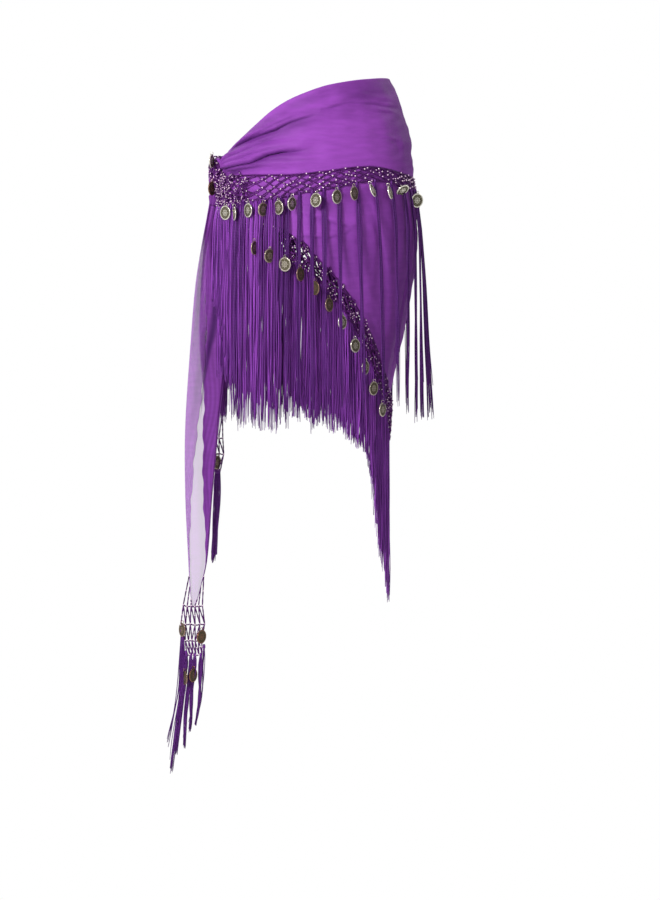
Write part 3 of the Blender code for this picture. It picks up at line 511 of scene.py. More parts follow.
def apply_modifiers(piece):
    """Makes a piece's modifiers part of its mesh."""
    bpy.ops.object.select_all(action="DESELECT")
    bpy.context.view_layer.objects.active = piece
    piece.select_set(True)
    for modifier in list(piece.modifiers):
        bpy.ops.object.modifier_apply(modifier=modifier.name)
    piece.select_set(False)


def cloth_piece(name, points, sizes, marks, wall, finish):
    """Thin cloth wall from a grid of points (rows, columns), with a UV map in metres and its named marks."""
    rows, columns = points.shape[:2]
    index = np.arange(rows * columns).reshape(rows, columns)
    quads = np.stack((index[:-1, :-1], index[:-1, 1:], index[1:, 1:], index[1:, :-1]), -1).reshape(-1, 4)
    piece = new_piece(name, points, quads.tolist(), finish, sizes.reshape(-1, 2)[quads.ravel()], marks)
    solid = piece.modifiers.new("Wall", "SOLIDIFY")
    solid.thickness = wall
    solid.offset = -1
    apply_modifiers(piece)
    return piece


def tubes(paths, radii, sides, facing, flat=1.0):
    """Points, faces and UVs of many threads, from paths (threads, points, 3) and radii (threads, points)."""
    threads, steps = radii.shape
    along = np.gradient(paths, axis=1)
    along /= np.linalg.norm(along, axis=-1, keepdims=True)
    side = np.cross(along, np.broadcast_to(facing[:, None, :], paths.shape))
    side /= np.linalg.norm(side, axis=-1, keepdims=True)
    out = np.cross(side, along)
    angle = 2 * np.pi * np.arange(sides) / sides
    ring = (side[:, :, None] * np.cos(angle)[:, None] + out[:, :, None] * np.sin(angle)[:, None] * flat)
    points = paths[:, :, None] + ring * radii[:, :, None, None]
    index = np.arange(threads * steps * sides).reshape(threads, steps, sides)
    after = np.roll(index, -1, axis=2)
    quads = np.stack((index[:, :-1], index[:, 1:], after[:, 1:], after[:, :-1]), -1).reshape(-1, 4)
    lengths = np.concatenate((np.zeros((threads, 1)), np.cumsum(
        np.linalg.norm(np.diff(paths, axis=1), axis=-1), axis=1)), axis=1)
    u = np.broadcast_to(np.arange(sides) / sides, (threads, steps - 1, sides))
    v0 = np.broadcast_to(lengths[:, :-1, None], u.shape)
    v1 = np.broadcast_to(lengths[:, 1:, None], u.shape)
    uv = np.stack((u, v0, u, v1, u + 1 / sides, v1, u + 1 / sides, v0), -1).reshape(-1, 2)
    caps = index[:, 0].tolist() + index[:, -1, ::-1].tolist()
    uv = np.concatenate((uv, np.zeros((2 * threads * sides, 2))))
    return points.reshape(-1, 3), quads.tolist() + caps, uv


def thread_piece(name, paths, radii, sides, facing, tones, finish, flat=1.0):
    """One piece of many threads, each with its own tone."""
    points, faces, uv = tubes(paths, radii, sides, facing, flat)
    tone = np.repeat(np.asarray(tones, float), radii.shape[1] * sides)
    return new_piece(name, points, faces, finish, uv, {"tone": tone})


def mesh_points(piece):
    """Points of a piece's mesh as an array."""
    points = np.empty(len(piece.data.vertices) * 3)
    piece.data.vertices.foreach_get("co", points)
    return points.reshape(-1, 3)


def copies(name, model, places, finish, values):
    """One piece of many copies of a model: places are 4 x 4 matrices; values name one number a copy."""
    shape = mesh_points(model)
    base = sorted(list(polygon.vertices) for polygon in model.data.polygons)
    points = np.concatenate([shape @ np.array(m)[:3, :3].T + np.array(m)[:3, 3] for m in places])
    faces = [[v + k * len(shape) for v in face] for k in range(len(places)) for face in base]
    own = {key: np.repeat(np.asarray(numbers, float), len(shape)) for key, numbers in values.items()}
    relief = model.data.attributes.get("relief")
    if relief:
        one = np.empty(len(shape))
        relief.data.foreach_get("value", one)
        own["relief"] = np.tile(one, len(places))
    return new_piece(name, points, faces, finish, None, own)


def feed(tree, target, value):
    """Sets an input socket to a value, or joins it to an output socket."""
    if isinstance(value, bpy.types.NodeSocket):
        tree.links.new(value, target)
    else:
        target.default_value = value


def add_node(tree, kind, inputs=None, **settings):
    """New node with settings by property name, and inputs by name or number."""
    made = tree.nodes.new(kind)
    for key, value in settings.items():
        setattr(made, key, value)
    for key, value in (inputs or {}).items():
        feed(tree, made.inputs[key], value)
    return made


def blend(tree, factor, low, high):
    """Colour between two others."""
    mixed = add_node(tree, "ShaderNodeMix", {"Factor": factor, "A": low, "B": high}, data_type="RGBA")
    return mixed.outputs["Result"]


def own_value(tree, name):
    """The value that a piece holds under a name at each point."""
    return add_node(tree, "ShaderNodeAttribute", attribute_name=name).outputs["Fac"]


def own_map(tree):
    """The piece's UV map, in metres along the cloth or thread."""
    return add_node(tree, "ShaderNodeUVMap", uv_map="UVMap").outputs["UV"]


def bumped(tree, height, strength, distance):
    """Normals of a fine relief."""
    bump = add_node(tree, "ShaderNodeBump", {"Height": height, "Strength": strength, "Distance": distance})
    return bump.outputs["Normal"]


def camera_or_light(tree, for_light, for_camera, output):
    """Shows one shader to the camera's own rays, and another to all others."""
    seen = add_node(tree, "ShaderNodeLightPath")
    mixed = add_node(tree, "ShaderNodeMixShader",
                     {"Fac": seen.outputs["Is Camera Ray"], 1: for_light, 2: for_camera})
    feed(tree, tree.nodes[output].inputs["Surface"], mixed.outputs["Shader"])


def new_group(name, inputs, outputs):
    """Empty shader node group with named inputs (socket type, default) and outputs (socket type)."""
    group = bpy.data.node_groups.new(name, "ShaderNodeTree")
    for key, (kind, default) in inputs.items():
        socket = group.interface.new_socket(key, in_out="INPUT", socket_type=kind)
        if default is not None:
            socket.default_value = default
    for key, kind in outputs.items():
        group.interface.new_socket(key, in_out="OUTPUT", socket_type=kind)
    return group, group.nodes.new("NodeGroupInput"), group.nodes.new("NodeGroupOutput")


def weave_group():
    """Plain weave of fine threads, with slubs: a height and a mask."""
    if "Fine weave" in bpy.data.node_groups:
        return bpy.data.node_groups["Fine weave"]
    group, given, result = new_group(
        "Fine weave",
        {"Vector": ("NodeSocketVector", None), "Pitch": ("NodeSocketFloat", 900.0)},
        {"Height": "NodeSocketFloat", "Slub": "NodeSocketFloat"})
    where = given.outputs["Vector"]
    scaled = add_node(group, "ShaderNodeVectorMath", {0: where, "Scale": given.outputs["Pitch"]},
                      operation="SCALE").outputs["Vector"]
    wave = {"Vector": scaled, "Scale": 0.5, "Distortion": 0.6, "Detail Scale": 0.2}
    warp, weft = (add_node(group, "ShaderNodeTexWave", wave, bands_direction=direction).outputs["Fac"]
                  for direction in ("X", "Y"))
    crossing = add_node(group, "ShaderNodeMath", {0: warp, 1: weft}, operation="MULTIPLY")
    stretch = add_node(group, "ShaderNodeMapping", {"Vector": where, "Scale": (30.0, 160.0, 1.0)})
    slub = add_node(group, "ShaderNodeTexNoise",
                    {"Vector": stretch.outputs["Vector"], "Scale": 1.0, "Detail": 3.0})
    feed(group, result.inputs["Height"], crossing.outputs["Value"])
    feed(group, result.inputs["Slub"], slub.outputs["Fac"])
    return group


def tarnish_group():
    """Tarnish in the recesses of struck metal, with fine scratches: a mask and a height."""
    if "Tarnish" in bpy.data.node_groups:
        return bpy.data.node_groups["Tarnish"]
    group, given, result = new_group(
        "Tarnish",
        {"Relief": ("NodeSocketFloat", 1.0), "Grain": ("NodeSocketFloat", 900.0)},
        {"Mask": "NodeSocketFloat", "Height": "NodeSocketFloat"})
    where = add_node(group, "ShaderNodeTexCoord").outputs["Object"]
    grain = add_node(group, "ShaderNodeTexNoise",
                     {"Vector": where, "Scale": given.outputs["Grain"], "Detail": 4.0})
    depth = add_node(group, "ShaderNodeMath", {0: 1.0, 1: given.outputs["Relief"]}, operation="SUBTRACT")
    mixed = add_node(group, "ShaderNodeMath", {0: grain.outputs["Fac"], 1: 0.5, 2: depth.outputs["Value"]},
                     operation="MULTIPLY_ADD")
    mask = add_node(group, "ShaderNodeMapRange",
                    {"Value": mixed.outputs["Value"], "From Min": 0.35, "From Max": 1.05})
    feed(group, result.inputs["Mask"], mask.outputs["Result"])
    feed(group, result.inputs["Height"], grain.outputs["Fac"])
    return group


def new_finish(name):
    """Material with its Principled shader."""
    made = bpy.data.materials.new(name)
    made.use_nodes = True
    return made, made.node_tree, made.node_tree.nodes["Principled BSDF"]


def chiffon_finish(name, colour, fold_shade_colour, least, most):
    """Sheer woven cloth with shade painted into its colour where its fold value is set; its cover runs from least to
    most.
    """
    if name in bpy.data.materials:
        return bpy.data.materials[name]
    made, tree, shader = new_finish(name)
    weave = add_node(tree, "ShaderNodeGroup", {"Vector": own_map(tree), "Pitch": 1100.0},
                     node_tree=weave_group())
    uneven = add_node(tree, "ShaderNodeMapRange",
                      {"Value": weave.outputs["Slub"], "From Min": 0.35, "From Max": 0.70})
    slub = blend(tree, uneven.outputs["Result"], colour, [c * 0.86 for c in colour[:3]] + [1])
    # Painted shade: the colour runs towards the fold shade colour as far as each point's fold value, set in creases,
    # hollows and gaps.
    feed(tree, shader.inputs["Base Color"], blend(tree, own_value(tree, "fold"), slub, fold_shade_colour))
    feed(tree, shader.inputs["Normal"], bumped(tree, weave.outputs["Height"], 0.25, 0.0003))
    shader.inputs["Roughness"].default_value = 0.55
    shader.inputs["Specular IOR Level"].default_value = 0.16
    shader.inputs["Sheen Weight"].default_value = 0.08
    shader.inputs["Sheen Roughness"].default_value = 0.45
    shader.inputs["Sheen Tint"].default_value = (0.70, 0.35, 0.90, 1)
    cover = add_node(tree, "ShaderNodeMapRange",
                     {"Value": own_value(tree, "cover"), "To Min": least, "To Max": most})
    side = add_node(tree, "ShaderNodeNewGeometry")
    near = add_node(tree, "ShaderNodeMath", {0: 1.0, 1: side.outputs["Backfacing"]}, operation="SUBTRACT")
    covered = add_node(tree, "ShaderNodeMath", {0: cover.outputs["Result"], 1: near.outputs["Value"]},
                       operation="MULTIPLY")
    feed(tree, shader.inputs["Alpha"], covered.outputs["Value"])
    return made


def yarn_finish(name, dark, bright, twist, roughness):
    """Spun thread: its tone runs from dark to bright, and its twist shows as a fine slanting relief."""
    if name in bpy.data.materials:
        return bpy.data.materials[name]
    made, tree, shader = new_finish(name)
    turned = add_node(tree, "ShaderNodeMapping", {"Vector": own_map(tree), "Scale": (1.0, twist, 1.0)})
    ply = add_node(tree, "ShaderNodeTexWave", {"Vector": turned.outputs["Vector"], "Scale": 1.0},
                   bands_direction="DIAGONAL").outputs["Fac"]
    streak = add_node(tree, "ShaderNodeMath", {0: ply, 1: 0.22, 2: own_value(tree, "tone")},
                      operation="MULTIPLY_ADD")
    feed(tree, shader.inputs["Base Color"], blend(tree, streak.outputs["Value"], dark, bright))
    feed(tree, shader.inputs["Normal"], bumped(tree, ply, 0.5, 0.0003))
    shader.inputs["Roughness"].default_value = roughness
    shader.inputs["Specular IOR Level"].default_value = 0.22
    shader.inputs["Sheen Weight"].default_value = 0.04
    shader.inputs["Sheen Tint"].default_value = (0.60, 0.25, 0.85, 1)
    return made


def coin_finish():
    """Old silver, copper-dark where the tone is low, tarnished in its recesses."""
    if "Old silver" in bpy.data.materials:
        return bpy.data.materials["Old silver"]
    made, tree, shader = new_finish("Old silver")
    tarnish = add_node(tree, "ShaderNodeGroup", {"Relief": own_value(tree, "relief"), "Grain": 700.0},
                       node_tree=tarnish_group())
    metal = blend(tree, own_value(tree, "tone"), (0.230, 0.105, 0.060, 1), (0.900, 0.860, 0.740, 1))
    aged = blend(tree, tarnish.outputs["Mask"], metal, (0.085, 0.072, 0.038, 1))
    rough = add_node(tree, "ShaderNodeMapRange",
                     {"Value": tarnish.outputs["Mask"], "To Min": 0.24, "To Max": 0.60})
    feed(tree, shader.inputs["Base Color"], aged)
    feed(tree, shader.inputs["Roughness"], rough.outputs["Result"])
    feed(tree, shader.inputs["Normal"], bumped(tree, tarnish.outputs["Height"], 0.3, 0.0002))
    shader.inputs["Metallic"].default_value = 0.72
    return made


def bead_finish():
    """Small glass beads, pale with a pink lustre."""
    if "Pearl glass" in bpy.data.materials:
        return bpy.data.materials["Pearl glass"]
    made, tree, shader = new_finish("Pearl glass")
    colour = blend(tree, own_value(tree, "tone"), (0.260, 0.050, 0.330, 1), (1.000, 0.740, 0.880, 1))
    feed(tree, shader.inputs["Base Color"], colour)
    shader.inputs["Roughness"].default_value = 0.10
    shader.inputs["Coat Weight"].default_value = 0.8
    shader.inputs["Coat Roughness"].default_value = 0.04
    return made


def stage_finish():
    """Plain white of the floor: even and bright where it is seen, matt where it lights the scarf."""
    made, tree, shader = new_finish("Studio white")
    shader.inputs["Base Color"].default_value = (0.86, 0.86, 0.86, 1)
    shader.inputs["Roughness"].default_value = 0.9
    shown = add_node(tree, "ShaderNodeEmission")
    camera_or_light(tree, shader.outputs["BSDF"], shown.outputs["Emission"], "Material Output")
    return made


class ScarfCloth(bpy.types.PropertyGroup):
    """Sizes and colours of the chiffon."""

    wall: FloatProperty(name="Wall", description="Thickness of the modelled cloth", default=0.0004,
                        unit="LENGTH")
    cell: FloatProperty(name="Cell", description="Size of the cloth's mesh cells", default=0.0026,
                        unit="LENGTH")
    colour: FloatVectorProperty(name="Colour", description="Colour of the lit cloth", subtype="COLOR", size=4,
                                default=(0.305, 0.060, 0.448, 1.0))
    # Colour painted where the cloth falls in shade: in its creases, hollows and the gaps between layers.
    fold_shade_colour: FloatVectorProperty(name="Fold shade colour",
                                     description="Colour where the cloth lies in deep folds",
                                     subtype="COLOR", size=4, default=(0.050, 0.005, 0.095, 1.0))


class ScarfNet(bpy.types.PropertyGroup):
    """Sizes of the crocheted net and its beads."""

    cord: FloatProperty(name="Cord", description="Half the thickness of the net's cords", default=0.00125,
                        unit="LENGTH")
    bead: FloatProperty(name="Bead", description="Radius of a bead", default=0.00130, unit="LENGTH")
    upper_cells: IntProperty(name="Fold cells", description="Cells along each half of the fold's net",
                             default=17)
    under_cells: IntProperty(name="Side cells", description="Cells along each short side's net", default=34)
    colour: FloatVectorProperty(name="Colour", description="Colour of the cord", subtype="COLOR", size=4,
                                default=(0.100, 0.009, 0.150, 1.0))


class ScarfFringe(bpy.types.PropertyGroup):
    """Sizes and colours of the fringe."""

    thread: FloatProperty(name="Thread", description="Half the thickness of a thread", default=0.00078,
                          unit="LENGTH")
    lock: IntProperty(name="Threads", description="Threads in a lock", default=10)
    dark: FloatVectorProperty(name="Dark", description="Darkest thread colour", subtype="COLOR", size=4,
                              default=(0.042, 0.003, 0.090, 1.0))
    bright: FloatVectorProperty(name="Bright", description="Brightest thread colour", subtype="COLOR", size=4,
                                default=(0.330, 0.065, 0.520, 1.0))


class ScarfCoins(bpy.types.PropertyGroup):
    """Sizes of the coins."""

    depth: FloatProperty(name="Thickness", description="Thickness of a coin", default=0.0012, unit="LENGTH")
    ring: FloatProperty(name="Ring", description="Radius of the hanging ring", default=0.0024, unit="LENGTH")


def cloth_settings():
    return bpy.context.scene.hip_scarf_cloth


def opaque_chiffon():
    cloth = cloth_settings()
    return chiffon_finish("Violet chiffon", list(cloth.colour), list(cloth.fold_shade_colour), 0.980, 0.990)


def sheer_chiffon():
    cloth = cloth_settings()
    return chiffon_finish("Sheer violet chiffon", list(cloth.colour), list(cloth.fold_shade_colour), 0.42, 0.96)


# Degrees that the wound cloths run on into the knot, and the rows of their meshes. The fold's top edge is a
# roll, begun this far under its highest line.
INTO_KNOT = 2.5
UPPER_CLOTH_ROWS = 56
UNDER_CLOTH_ROWS = 110
ROLL_ROWS = 7
ROLL_DROP = 0.0012


class HIPSCARF_OT_upper_cloth(bpy.types.Operator):
    """Makes the folded-down long side, creased from the knot, with its rolled top edge."""

    bl_idname = "hip_scarf.upper_cloth"
    bl_label = "Folded-down cloth"

    def execute(self, context):
        cloth = cloth_settings()
        knot_back, knot_front = knot_end(KNOT_CENTRE[2])
        start, end = knot_back - INTO_KNOT, knot_front + INTO_KNOT
        columns = int((end - start) * ARC / cloth.cell)
        turn = np.linspace(start, end, columns + 1)
        top = curve(UPPER, "top", turn, "turn")
        hem = curve(UPPER, "hem", turn, "turn")
        share = np.linspace(0, 1, UPPER_CLOTH_ROWS)[:, None]
        turns = np.broadcast_to(turn, (UPPER_CLOTH_ROWS, columns + 1))
        heights = hem + (top - ROLL_DROP - hem) * share
        body, shade_mark = upper_surface(turns, heights)
        bend = np.linspace(0, math.pi, ROLL_ROWS)[1:, None]
        radius = (UPPER_OUT + 0.0016) / 2
        rolled = place(turn, top - ROLL_DROP + ROLL_DROP * np.sin(bend),
                       UPPER_OUT + 0.0006 - radius + radius * np.cos(bend))
        tucked = place(turn, top - 0.006, np.array(-0.0016))[None]
        points = np.concatenate((body, rolled, tucked))
        marks = np.concatenate((shade_mark, np.zeros((ROLL_ROWS, columns + 1))))
        across = np.broadcast_to(turn * ARC, marks.shape)
        down = np.concatenate((heights, top + np.linspace(0, 0.008, ROLL_ROWS)[:, None]))
        piece = cloth_piece("upper_cloth", points, np.stack((across, down), -1), {"fold": marks}, cloth.wall,
                            opaque_chiffon())
        settle(piece, "chiffon", "upper_wrap")
        return {"FINISHED"}


class HIPSCARF_OT_under_cloth(bpy.types.Operator):
    """Makes the deep part of the shawl behind the fold, with soft hanging folds."""

    bl_idname = "hip_scarf.under_cloth"
    bl_label = "Deep cloth"

    def execute(self, context):
        cloth = cloth_settings()
        knot_back, knot_front = knot_end(KNOT_CENTRE[2])
        start, end = knot_back - INTO_KNOT, knot_front + INTO_KNOT
        columns = int((end - start) * ARC / (cloth.cell * 1.1))
        turn = np.linspace(start, end, columns + 1)
        top = curve(UPPER, "top", turn, "turn") - 0.0030
        hem = curve(UNDER, "hem", turn, "turn")
        share = np.linspace(0, 1, UNDER_CLOTH_ROWS)[:, None] ** 0.9
        heights = hem + (top - hem) * share
        turns = np.broadcast_to(turn, heights.shape)
        points, shade_mark = under_surface(turns, heights)
        sizes = np.stack((turns * ARC, heights), -1)
        piece = cloth_piece("under_cloth", points, sizes, {"fold": shade_mark}, cloth.wall, opaque_chiffon())
        settle(piece, "chiffon", "under_wrap")
        return {"FINISHED"}


def tail_points(table, bands, waves, rows):
    """Points of a hanging corner whose two side bands are folded back over its middle."""
    bottom, top = table["height"][0], table["height"][-1]
    height = np.linspace(bottom, top, rows)
    left, right, left_depth, right_depth, wave = (
        curve(table, column, height, "height")
        for column in ("left", "right", "left_depth", "right_depth", "wave"))
    uneven = 0.018 * np.sin(height * 95) + 0.012 * np.sin(height * 211 + 1)
    above_tip = smooth_step((height - bottom) / 0.10)
    left_band = curve(bands, "left_band", height, "height") + uneven * above_tip
    right_band = curve(bands, "right_band", height, "height") + uneven[::-1] * above_tip
    one, zero = np.ones(rows), np.zeros(rows)
    stops = (0.0, 0.20, 0.215, 0.23, 0.245, 0.60, 0.615, 0.63, 0.645, 0.84, 0.85, 0.86, 1.0)
    across = (left_band, 0.04 * one, 0.005 * one, zero, 0.01 * one, 0.99 * one, 0.997 * one, one, 0.99 * one,
              right_band + 0.04, right_band, right_band + 0.03, 0.96 * one)
    ahead = (0.0026, 0.0021, 0.0016, 0.0010, 0.0002, 0.0000, 0.0006, 0.0014,
             0.0020, 0.0023, 0.0030, 0.0038, 0.0042)
    share = np.linspace(0, 1, 121)
    x_share = np.stack([np.interp(share, stops, [column[k] for column in across]) for k in range(rows)])
    front = np.interp(share, stops, ahead)[None] * smooth_step((right - left) / 0.012)[:, None]
    depth = left_depth[:, None] + (right_depth - left_depth)[:, None] * x_share
    turn = 2 * np.pi * waves * x_share + 9 * (height - top)[:, None]
    ruffle = 0.0006 * np.sin(share * 40 + height[:, None] * 30)
    y = depth + wave[:, None] * np.sin(turn) - front + ruffle * smooth_step((right - left) / 0.012)[:, None]
    x = left[:, None] + (right - left)[:, None] * x_share
    middle = smooth_step((share - 0.21) / 0.03) * smooth_step((0.63 - share) / 0.03)
    near_knot = smooth_step((height - top + 0.10) / 0.06)[:, None]
    # Painted shadow between the long tail's bands: there the cloth is made opaque and its colour darkened, standing for
    # the shade in the gap.
    shadow = np.exp(-(((x_share - curve(TAIL_SHADOW, "across", height, "height")[:, None])
                       / curve(TAIL_SHADOW, "half_width", height, "height")[:, None]) ** 2))
    shadow = shadow * curve(TAIL_SHADOW, "depth", height, "height")[:, None] * (table is LONG_TAIL)
    cover = np.maximum((1 - middle) * np.where(share > 0.5, 1.0, 0.45), np.maximum(near_knot, shadow))
    # Painted shade of crumples: a wavy darkening, strong over the folded-back right band and faint over the left.
    waver = 0.5 + 0.5 * np.sin(x_share * 46 + 5 * np.sin(height * 31)[:, None])
    crumple = np.where(share > 0.5, 0.42 + 0.20 * waver, 0.06 * waver) * (1 - 0.8 * middle)
    marks = {"cover": cover, "fold": np.maximum(shadow, crumple + 0.25 * near_knot)}
    return np.stack((x, y, np.broadcast_to(height[:, None], x.shape)), -1), share, height, marks


class HIPSCARF_OT_tails(bpy.types.Operator):
    """Makes the two corners that hang from the knot, each folded back along its sides."""

    bl_idname = "hip_scarf.tails"
    bl_label = "Hanging corners"

    def execute(self, context):
        cloth = cloth_settings()
        for name, table, bands, waves, rows, width, node in (
                ("long_tail_cloth", LONG_TAIL, LONG_BANDS, 1.25, 150, 0.13, "long_tail"),
                ("short_tail_cloth", SHORT_TAIL, SHORT_BANDS, 1.0, 90, 0.10, "short_tail")):
            points, share, height, marks = tail_points(table, bands, waves, rows)
            across, up = np.meshgrid(share * width, height)
            piece = cloth_piece(name, points, np.stack((across, up), -1), marks, cloth.wall * 0.8,
                                sheer_chiffon())
            settle(piece, "chiffon", node)
        return {"FINISHED"}


# Cloth bands of the knot: points along each, half widths, half thicknesses and pleats.
KNOT_BANDS = (
    {"path": ((-0.148, -0.022, -0.060), (-0.155, -0.026, -0.058), (-0.163, -0.024, -0.063),
              (-0.170, -0.014, -0.074), (-0.171, 0.000, -0.086), (-0.166, 0.009, -0.097),
              (-0.158, 0.008, -0.104)),
     "half": (0.009, 0.009, 0.009, 0.009, 0.009, 0.009, 0.008), "thick": 0.0042, "pleats": 5},
    {"path": ((-0.149, 0.016, -0.062), (-0.157, 0.016, -0.056), (-0.165, 0.008, -0.056),
              (-0.170, -0.006, -0.064), (-0.170, -0.017, -0.080), (-0.166, -0.022, -0.096),
              (-0.167, -0.019, -0.112), (-0.169, -0.014, -0.124)),
     "half": (0.009, 0.009, 0.009, 0.009, 0.009, 0.009, 0.009, 0.008), "thick": 0.0042, "pleats": 4},
    {"path": ((-0.150, -0.004, -0.058), (-0.158, -0.004, -0.051), (-0.166, -0.004, -0.056),
              (-0.171, -0.004, -0.072), (-0.170, -0.002, -0.092), (-0.167, 0.000, -0.108),
              (-0.167, -0.002, -0.122)),
     "half": (0.012, 0.013, 0.013, 0.012, 0.011, 0.011, 0.010), "thick": 0.0048, "pleats": 6},
    {"path": ((-0.149, -0.018, -0.078), (-0.156, -0.023, -0.084), (-0.162, -0.023, -0.096),
              (-0.164, -0.017, -0.110), (-0.163, -0.006, -0.118)),
     "half": (0.011, 0.010, 0.010, 0.010, 0.009), "thick": 0.0060, "pleats": 5},
)
NET_HALF = np.array((0.0150, 0.0260, 0.0350))
NET_CENTRE = np.array((-0.1595, -0.0045, -0.0800))

# The one smooth band that crosses the knot's net where the fold runs into it.
CROSSING_BAND = {"path": ((-0.163, -0.0295, -0.050), (-0.157, -0.0345, -0.056), (-0.150, -0.0370, -0.064),
                          (-0.143, -0.0390, -0.072), (-0.138, -0.0400, -0.078)),
                 "half": (0.0020, 0.0028, 0.0030, 0.0028, 0.0018), "thick": 0.0018, "pleats": 2}


def smooth_path(points, steps):
    """Evenly spaced points on a smooth line through given points."""
    points = np.array(points, float)
    lengths = np.concatenate(([0], np.cumsum(np.linalg.norm(np.diff(points, axis=0), axis=1))))
    table = {"at": lengths, "x": points[:, 0], "y": points[:, 1], "z": points[:, 2]}
    at = np.linspace(0, lengths[-1], steps)
    return np.stack([curve(table, axis, at, "at") for axis in "xyz"], -1), at / lengths[-1]


def pleated_band(path, half, thick, pleats, steps=40, around=48):
    """Points and faces of a gathered band of cloth: a flat tube, pleated along its length."""
    line, share = smooth_path(path, steps)
    widths = np.interp(share, np.linspace(0, 1, len(half)), half)
    along = np.gradient(line, axis=0)
    along /= np.linalg.norm(along, axis=1, keepdims=True)
    out = line - KNOT_CENTRE
    side = np.cross(along, out)
    side /= np.linalg.norm(side, axis=1, keepdims=True)
    up = np.cross(side, along)
    angle = 2 * np.pi * np.arange(around) / around
    pleat = 1 + 0.16 * np.cos(angle * pleats * 2 + 0.7)[None] * np.sin(share * 5 + 0.5)[:, None] ** 2 \
        + 0.12 * np.cos(angle * pleats * 3 + share[:, None] * 4)
    wide = np.sign(np.cos(angle)) * np.abs(np.cos(angle)) ** 0.8
    ring = side[:, None] * (wide * pleat * widths[:, None])[..., None] \
        + up[:, None] * (np.sin(angle) * pleat * thick)[..., None]
    points = line[:, None] + ring
    index = np.arange(steps * around).reshape(steps, around)
    after = np.roll(index, -1, axis=1)
    quads = np.stack((index[:-1], index[1:], after[1:], after[:-1]), -1).reshape(-1, 4).tolist()
    caps = [index[0].tolist(), index[-1, ::-1].tolist()]
    u = np.broadcast_to(np.arange(around) / around, (steps - 1, around)) * 0.05
    v0 = np.broadcast_to(share[:-1, None] * 0.09, u.shape)
    v1 = np.broadcast_to(share[1:, None] * 0.09, u.shape)
    du = 0.05 / around
    uv = np.stack((u, v0, u, v1, u + du, v1, u + du, v0), -1).reshape(-1, 2)
    uv = np.concatenate((uv, np.zeros((2 * around, 2))))
    # Painted shade in the hollows of the pleats, where the band is drawn in.
    shade_mark = np.clip(1 - pleat, 0, 0.3) * 3
    return points.reshape(-1, 3), quads + caps, uv, shade_mark.ravel()


def knot_surface(around, height_share, out):
    """Points over the knot at angles round it and shares of its half height, some distance out."""
    level = np.clip(height_share, -0.97, 0.97)
    wide = (1 - np.abs(level) ** 3.0) ** (1 / 3.0)
    return NET_CENTRE + np.stack((np.cos(around) * (NET_HALF[0] * wide + out),
                                  np.sin(around) * (NET_HALF[1] * wide + out),
                                  level * NET_HALF[2]), -1)


# Lengths of cord in the crumpled net over the knot.
KNOT_CORDS = 260


class HIPSCARF_OT_knot_net(bpy.types.Operator):
    """Makes the crumpled net of the tied corners, wound over the knot with its beads."""

    bl_idname = "hip_scarf.knot_net"
    bl_label = "Net over the knot"

    def execute(self, context):
        net = net_settings()
        lattice = Lattice(24)
        chance = lattice.chance
        for k in range(KNOT_CORDS):
            slant = 1 if k % 2 else -1
            start, level = chance.uniform(0, 2 * math.pi), chance.uniform(-1.0, 0.9)
            t = np.linspace(0, 1, 8)
            around = start + t * chance.uniform(0.3, 0.8)
            rise = level + slant * t * chance.uniform(0.2, 0.5) + 0.06 * np.sin(t * chance.uniform(3, 7))
            out = 0.0008 + 0.0016 * np.sin(np.pi * t) * chance.random() + chance.uniform(0, 0.0022)
            path = knot_surface(around, rise, out)
            middle = float(around.mean())
            facing = np.array((math.cos(middle), math.sin(middle), 0.0))
            lattice.run(path, facing)
            for point in (path[0], path[4]):
                if chance.random() < 0.6:
                    lattice.bead(point + facing * 0.001, facing, net.bead * chance.uniform(0.8, 1.1))
        settle(lattice.cord_piece("knot_net_cords", net.cord, net_cord_finish()), "yarn")
        bead_piece("knot_net_beads", lattice.beads, 34)
        return {"FINISHED"}


class HIPSCARF_OT_tied_knot(bpy.types.Operator):
    """Makes the knot: gathered bands of the two corners, wound round each other."""

    bl_idname = "hip_scarf.tied_knot"
    bl_label = "Knot"

    def execute(self, context):
        points, faces, uvs, marks, count = [], [], [], [], 0
        for band in (*KNOT_BANDS, CROSSING_BAND):
            # Painted shade over the knot's gathered bands, all but the crossing band.
            painted_knot_shade = 0.0 if band is CROSSING_BAND else 0.45
            part, part_faces, uv, shade_mark = pleated_band(**band)
            faces += [[v + count for v in face] for face in part_faces]
            count += len(part)
            points.append(part)
            uvs.append(uv)
            marks.append(np.maximum(shade_mark, painted_knot_shade))
        piece = new_piece("tied_knot", np.concatenate(points), faces, opaque_chiffon(), np.concatenate(uvs),
                          {"fold": np.concatenate(marks)})
        settle(piece, "chiffon", "knot")
        return {"FINISHED"}


def net_settings():
    return bpy.context.scene.hip_scarf_net


def net_cord_finish():
    colour = list(net_settings().colour)
    dark = [c * 0.30 for c in colour[:3]] + [1]
    return yarn_finish("Crochet cord", dark, colour, 500.0, 0.55)


class Lattice:
    """Cords and beads of a net, gathered as they are laid."""

    def __init__(self, seed):
        self.chance = random.Random(seed)
        self.paths, self.facings, self.beads = [], [], []

    def cord(self, start, end, facing, sag, steps=8):
        """One length of cord between two points, hanging a little."""
        t = np.linspace(0, 1, steps)
        path = start + (end - start) * t[:, None]
        path[:, 2] -= sag * 4 * t * (1 - t)
        self.run(path, facing)

    def run(self, path, facing):
        """One length of cord along given points."""
        self.paths.append(path)
        self.facings.append(facing)

    def bead(self, point, facing, size):
        self.beads.append((point, facing, size))

    def cord_piece(self, name, half, finish):
        """All cords as one piece, with the bumps of chain stitches."""
        paths = np.stack(self.paths)
        radii = np.full(paths.shape[:2], half)
        radii[:, 1::2] *= 0.72
        tones = [self.chance.uniform(0.25, 1.0) for _ in self.paths]
        return thread_piece(name, paths, radii, 5, np.stack(self.facings), tones, finish)


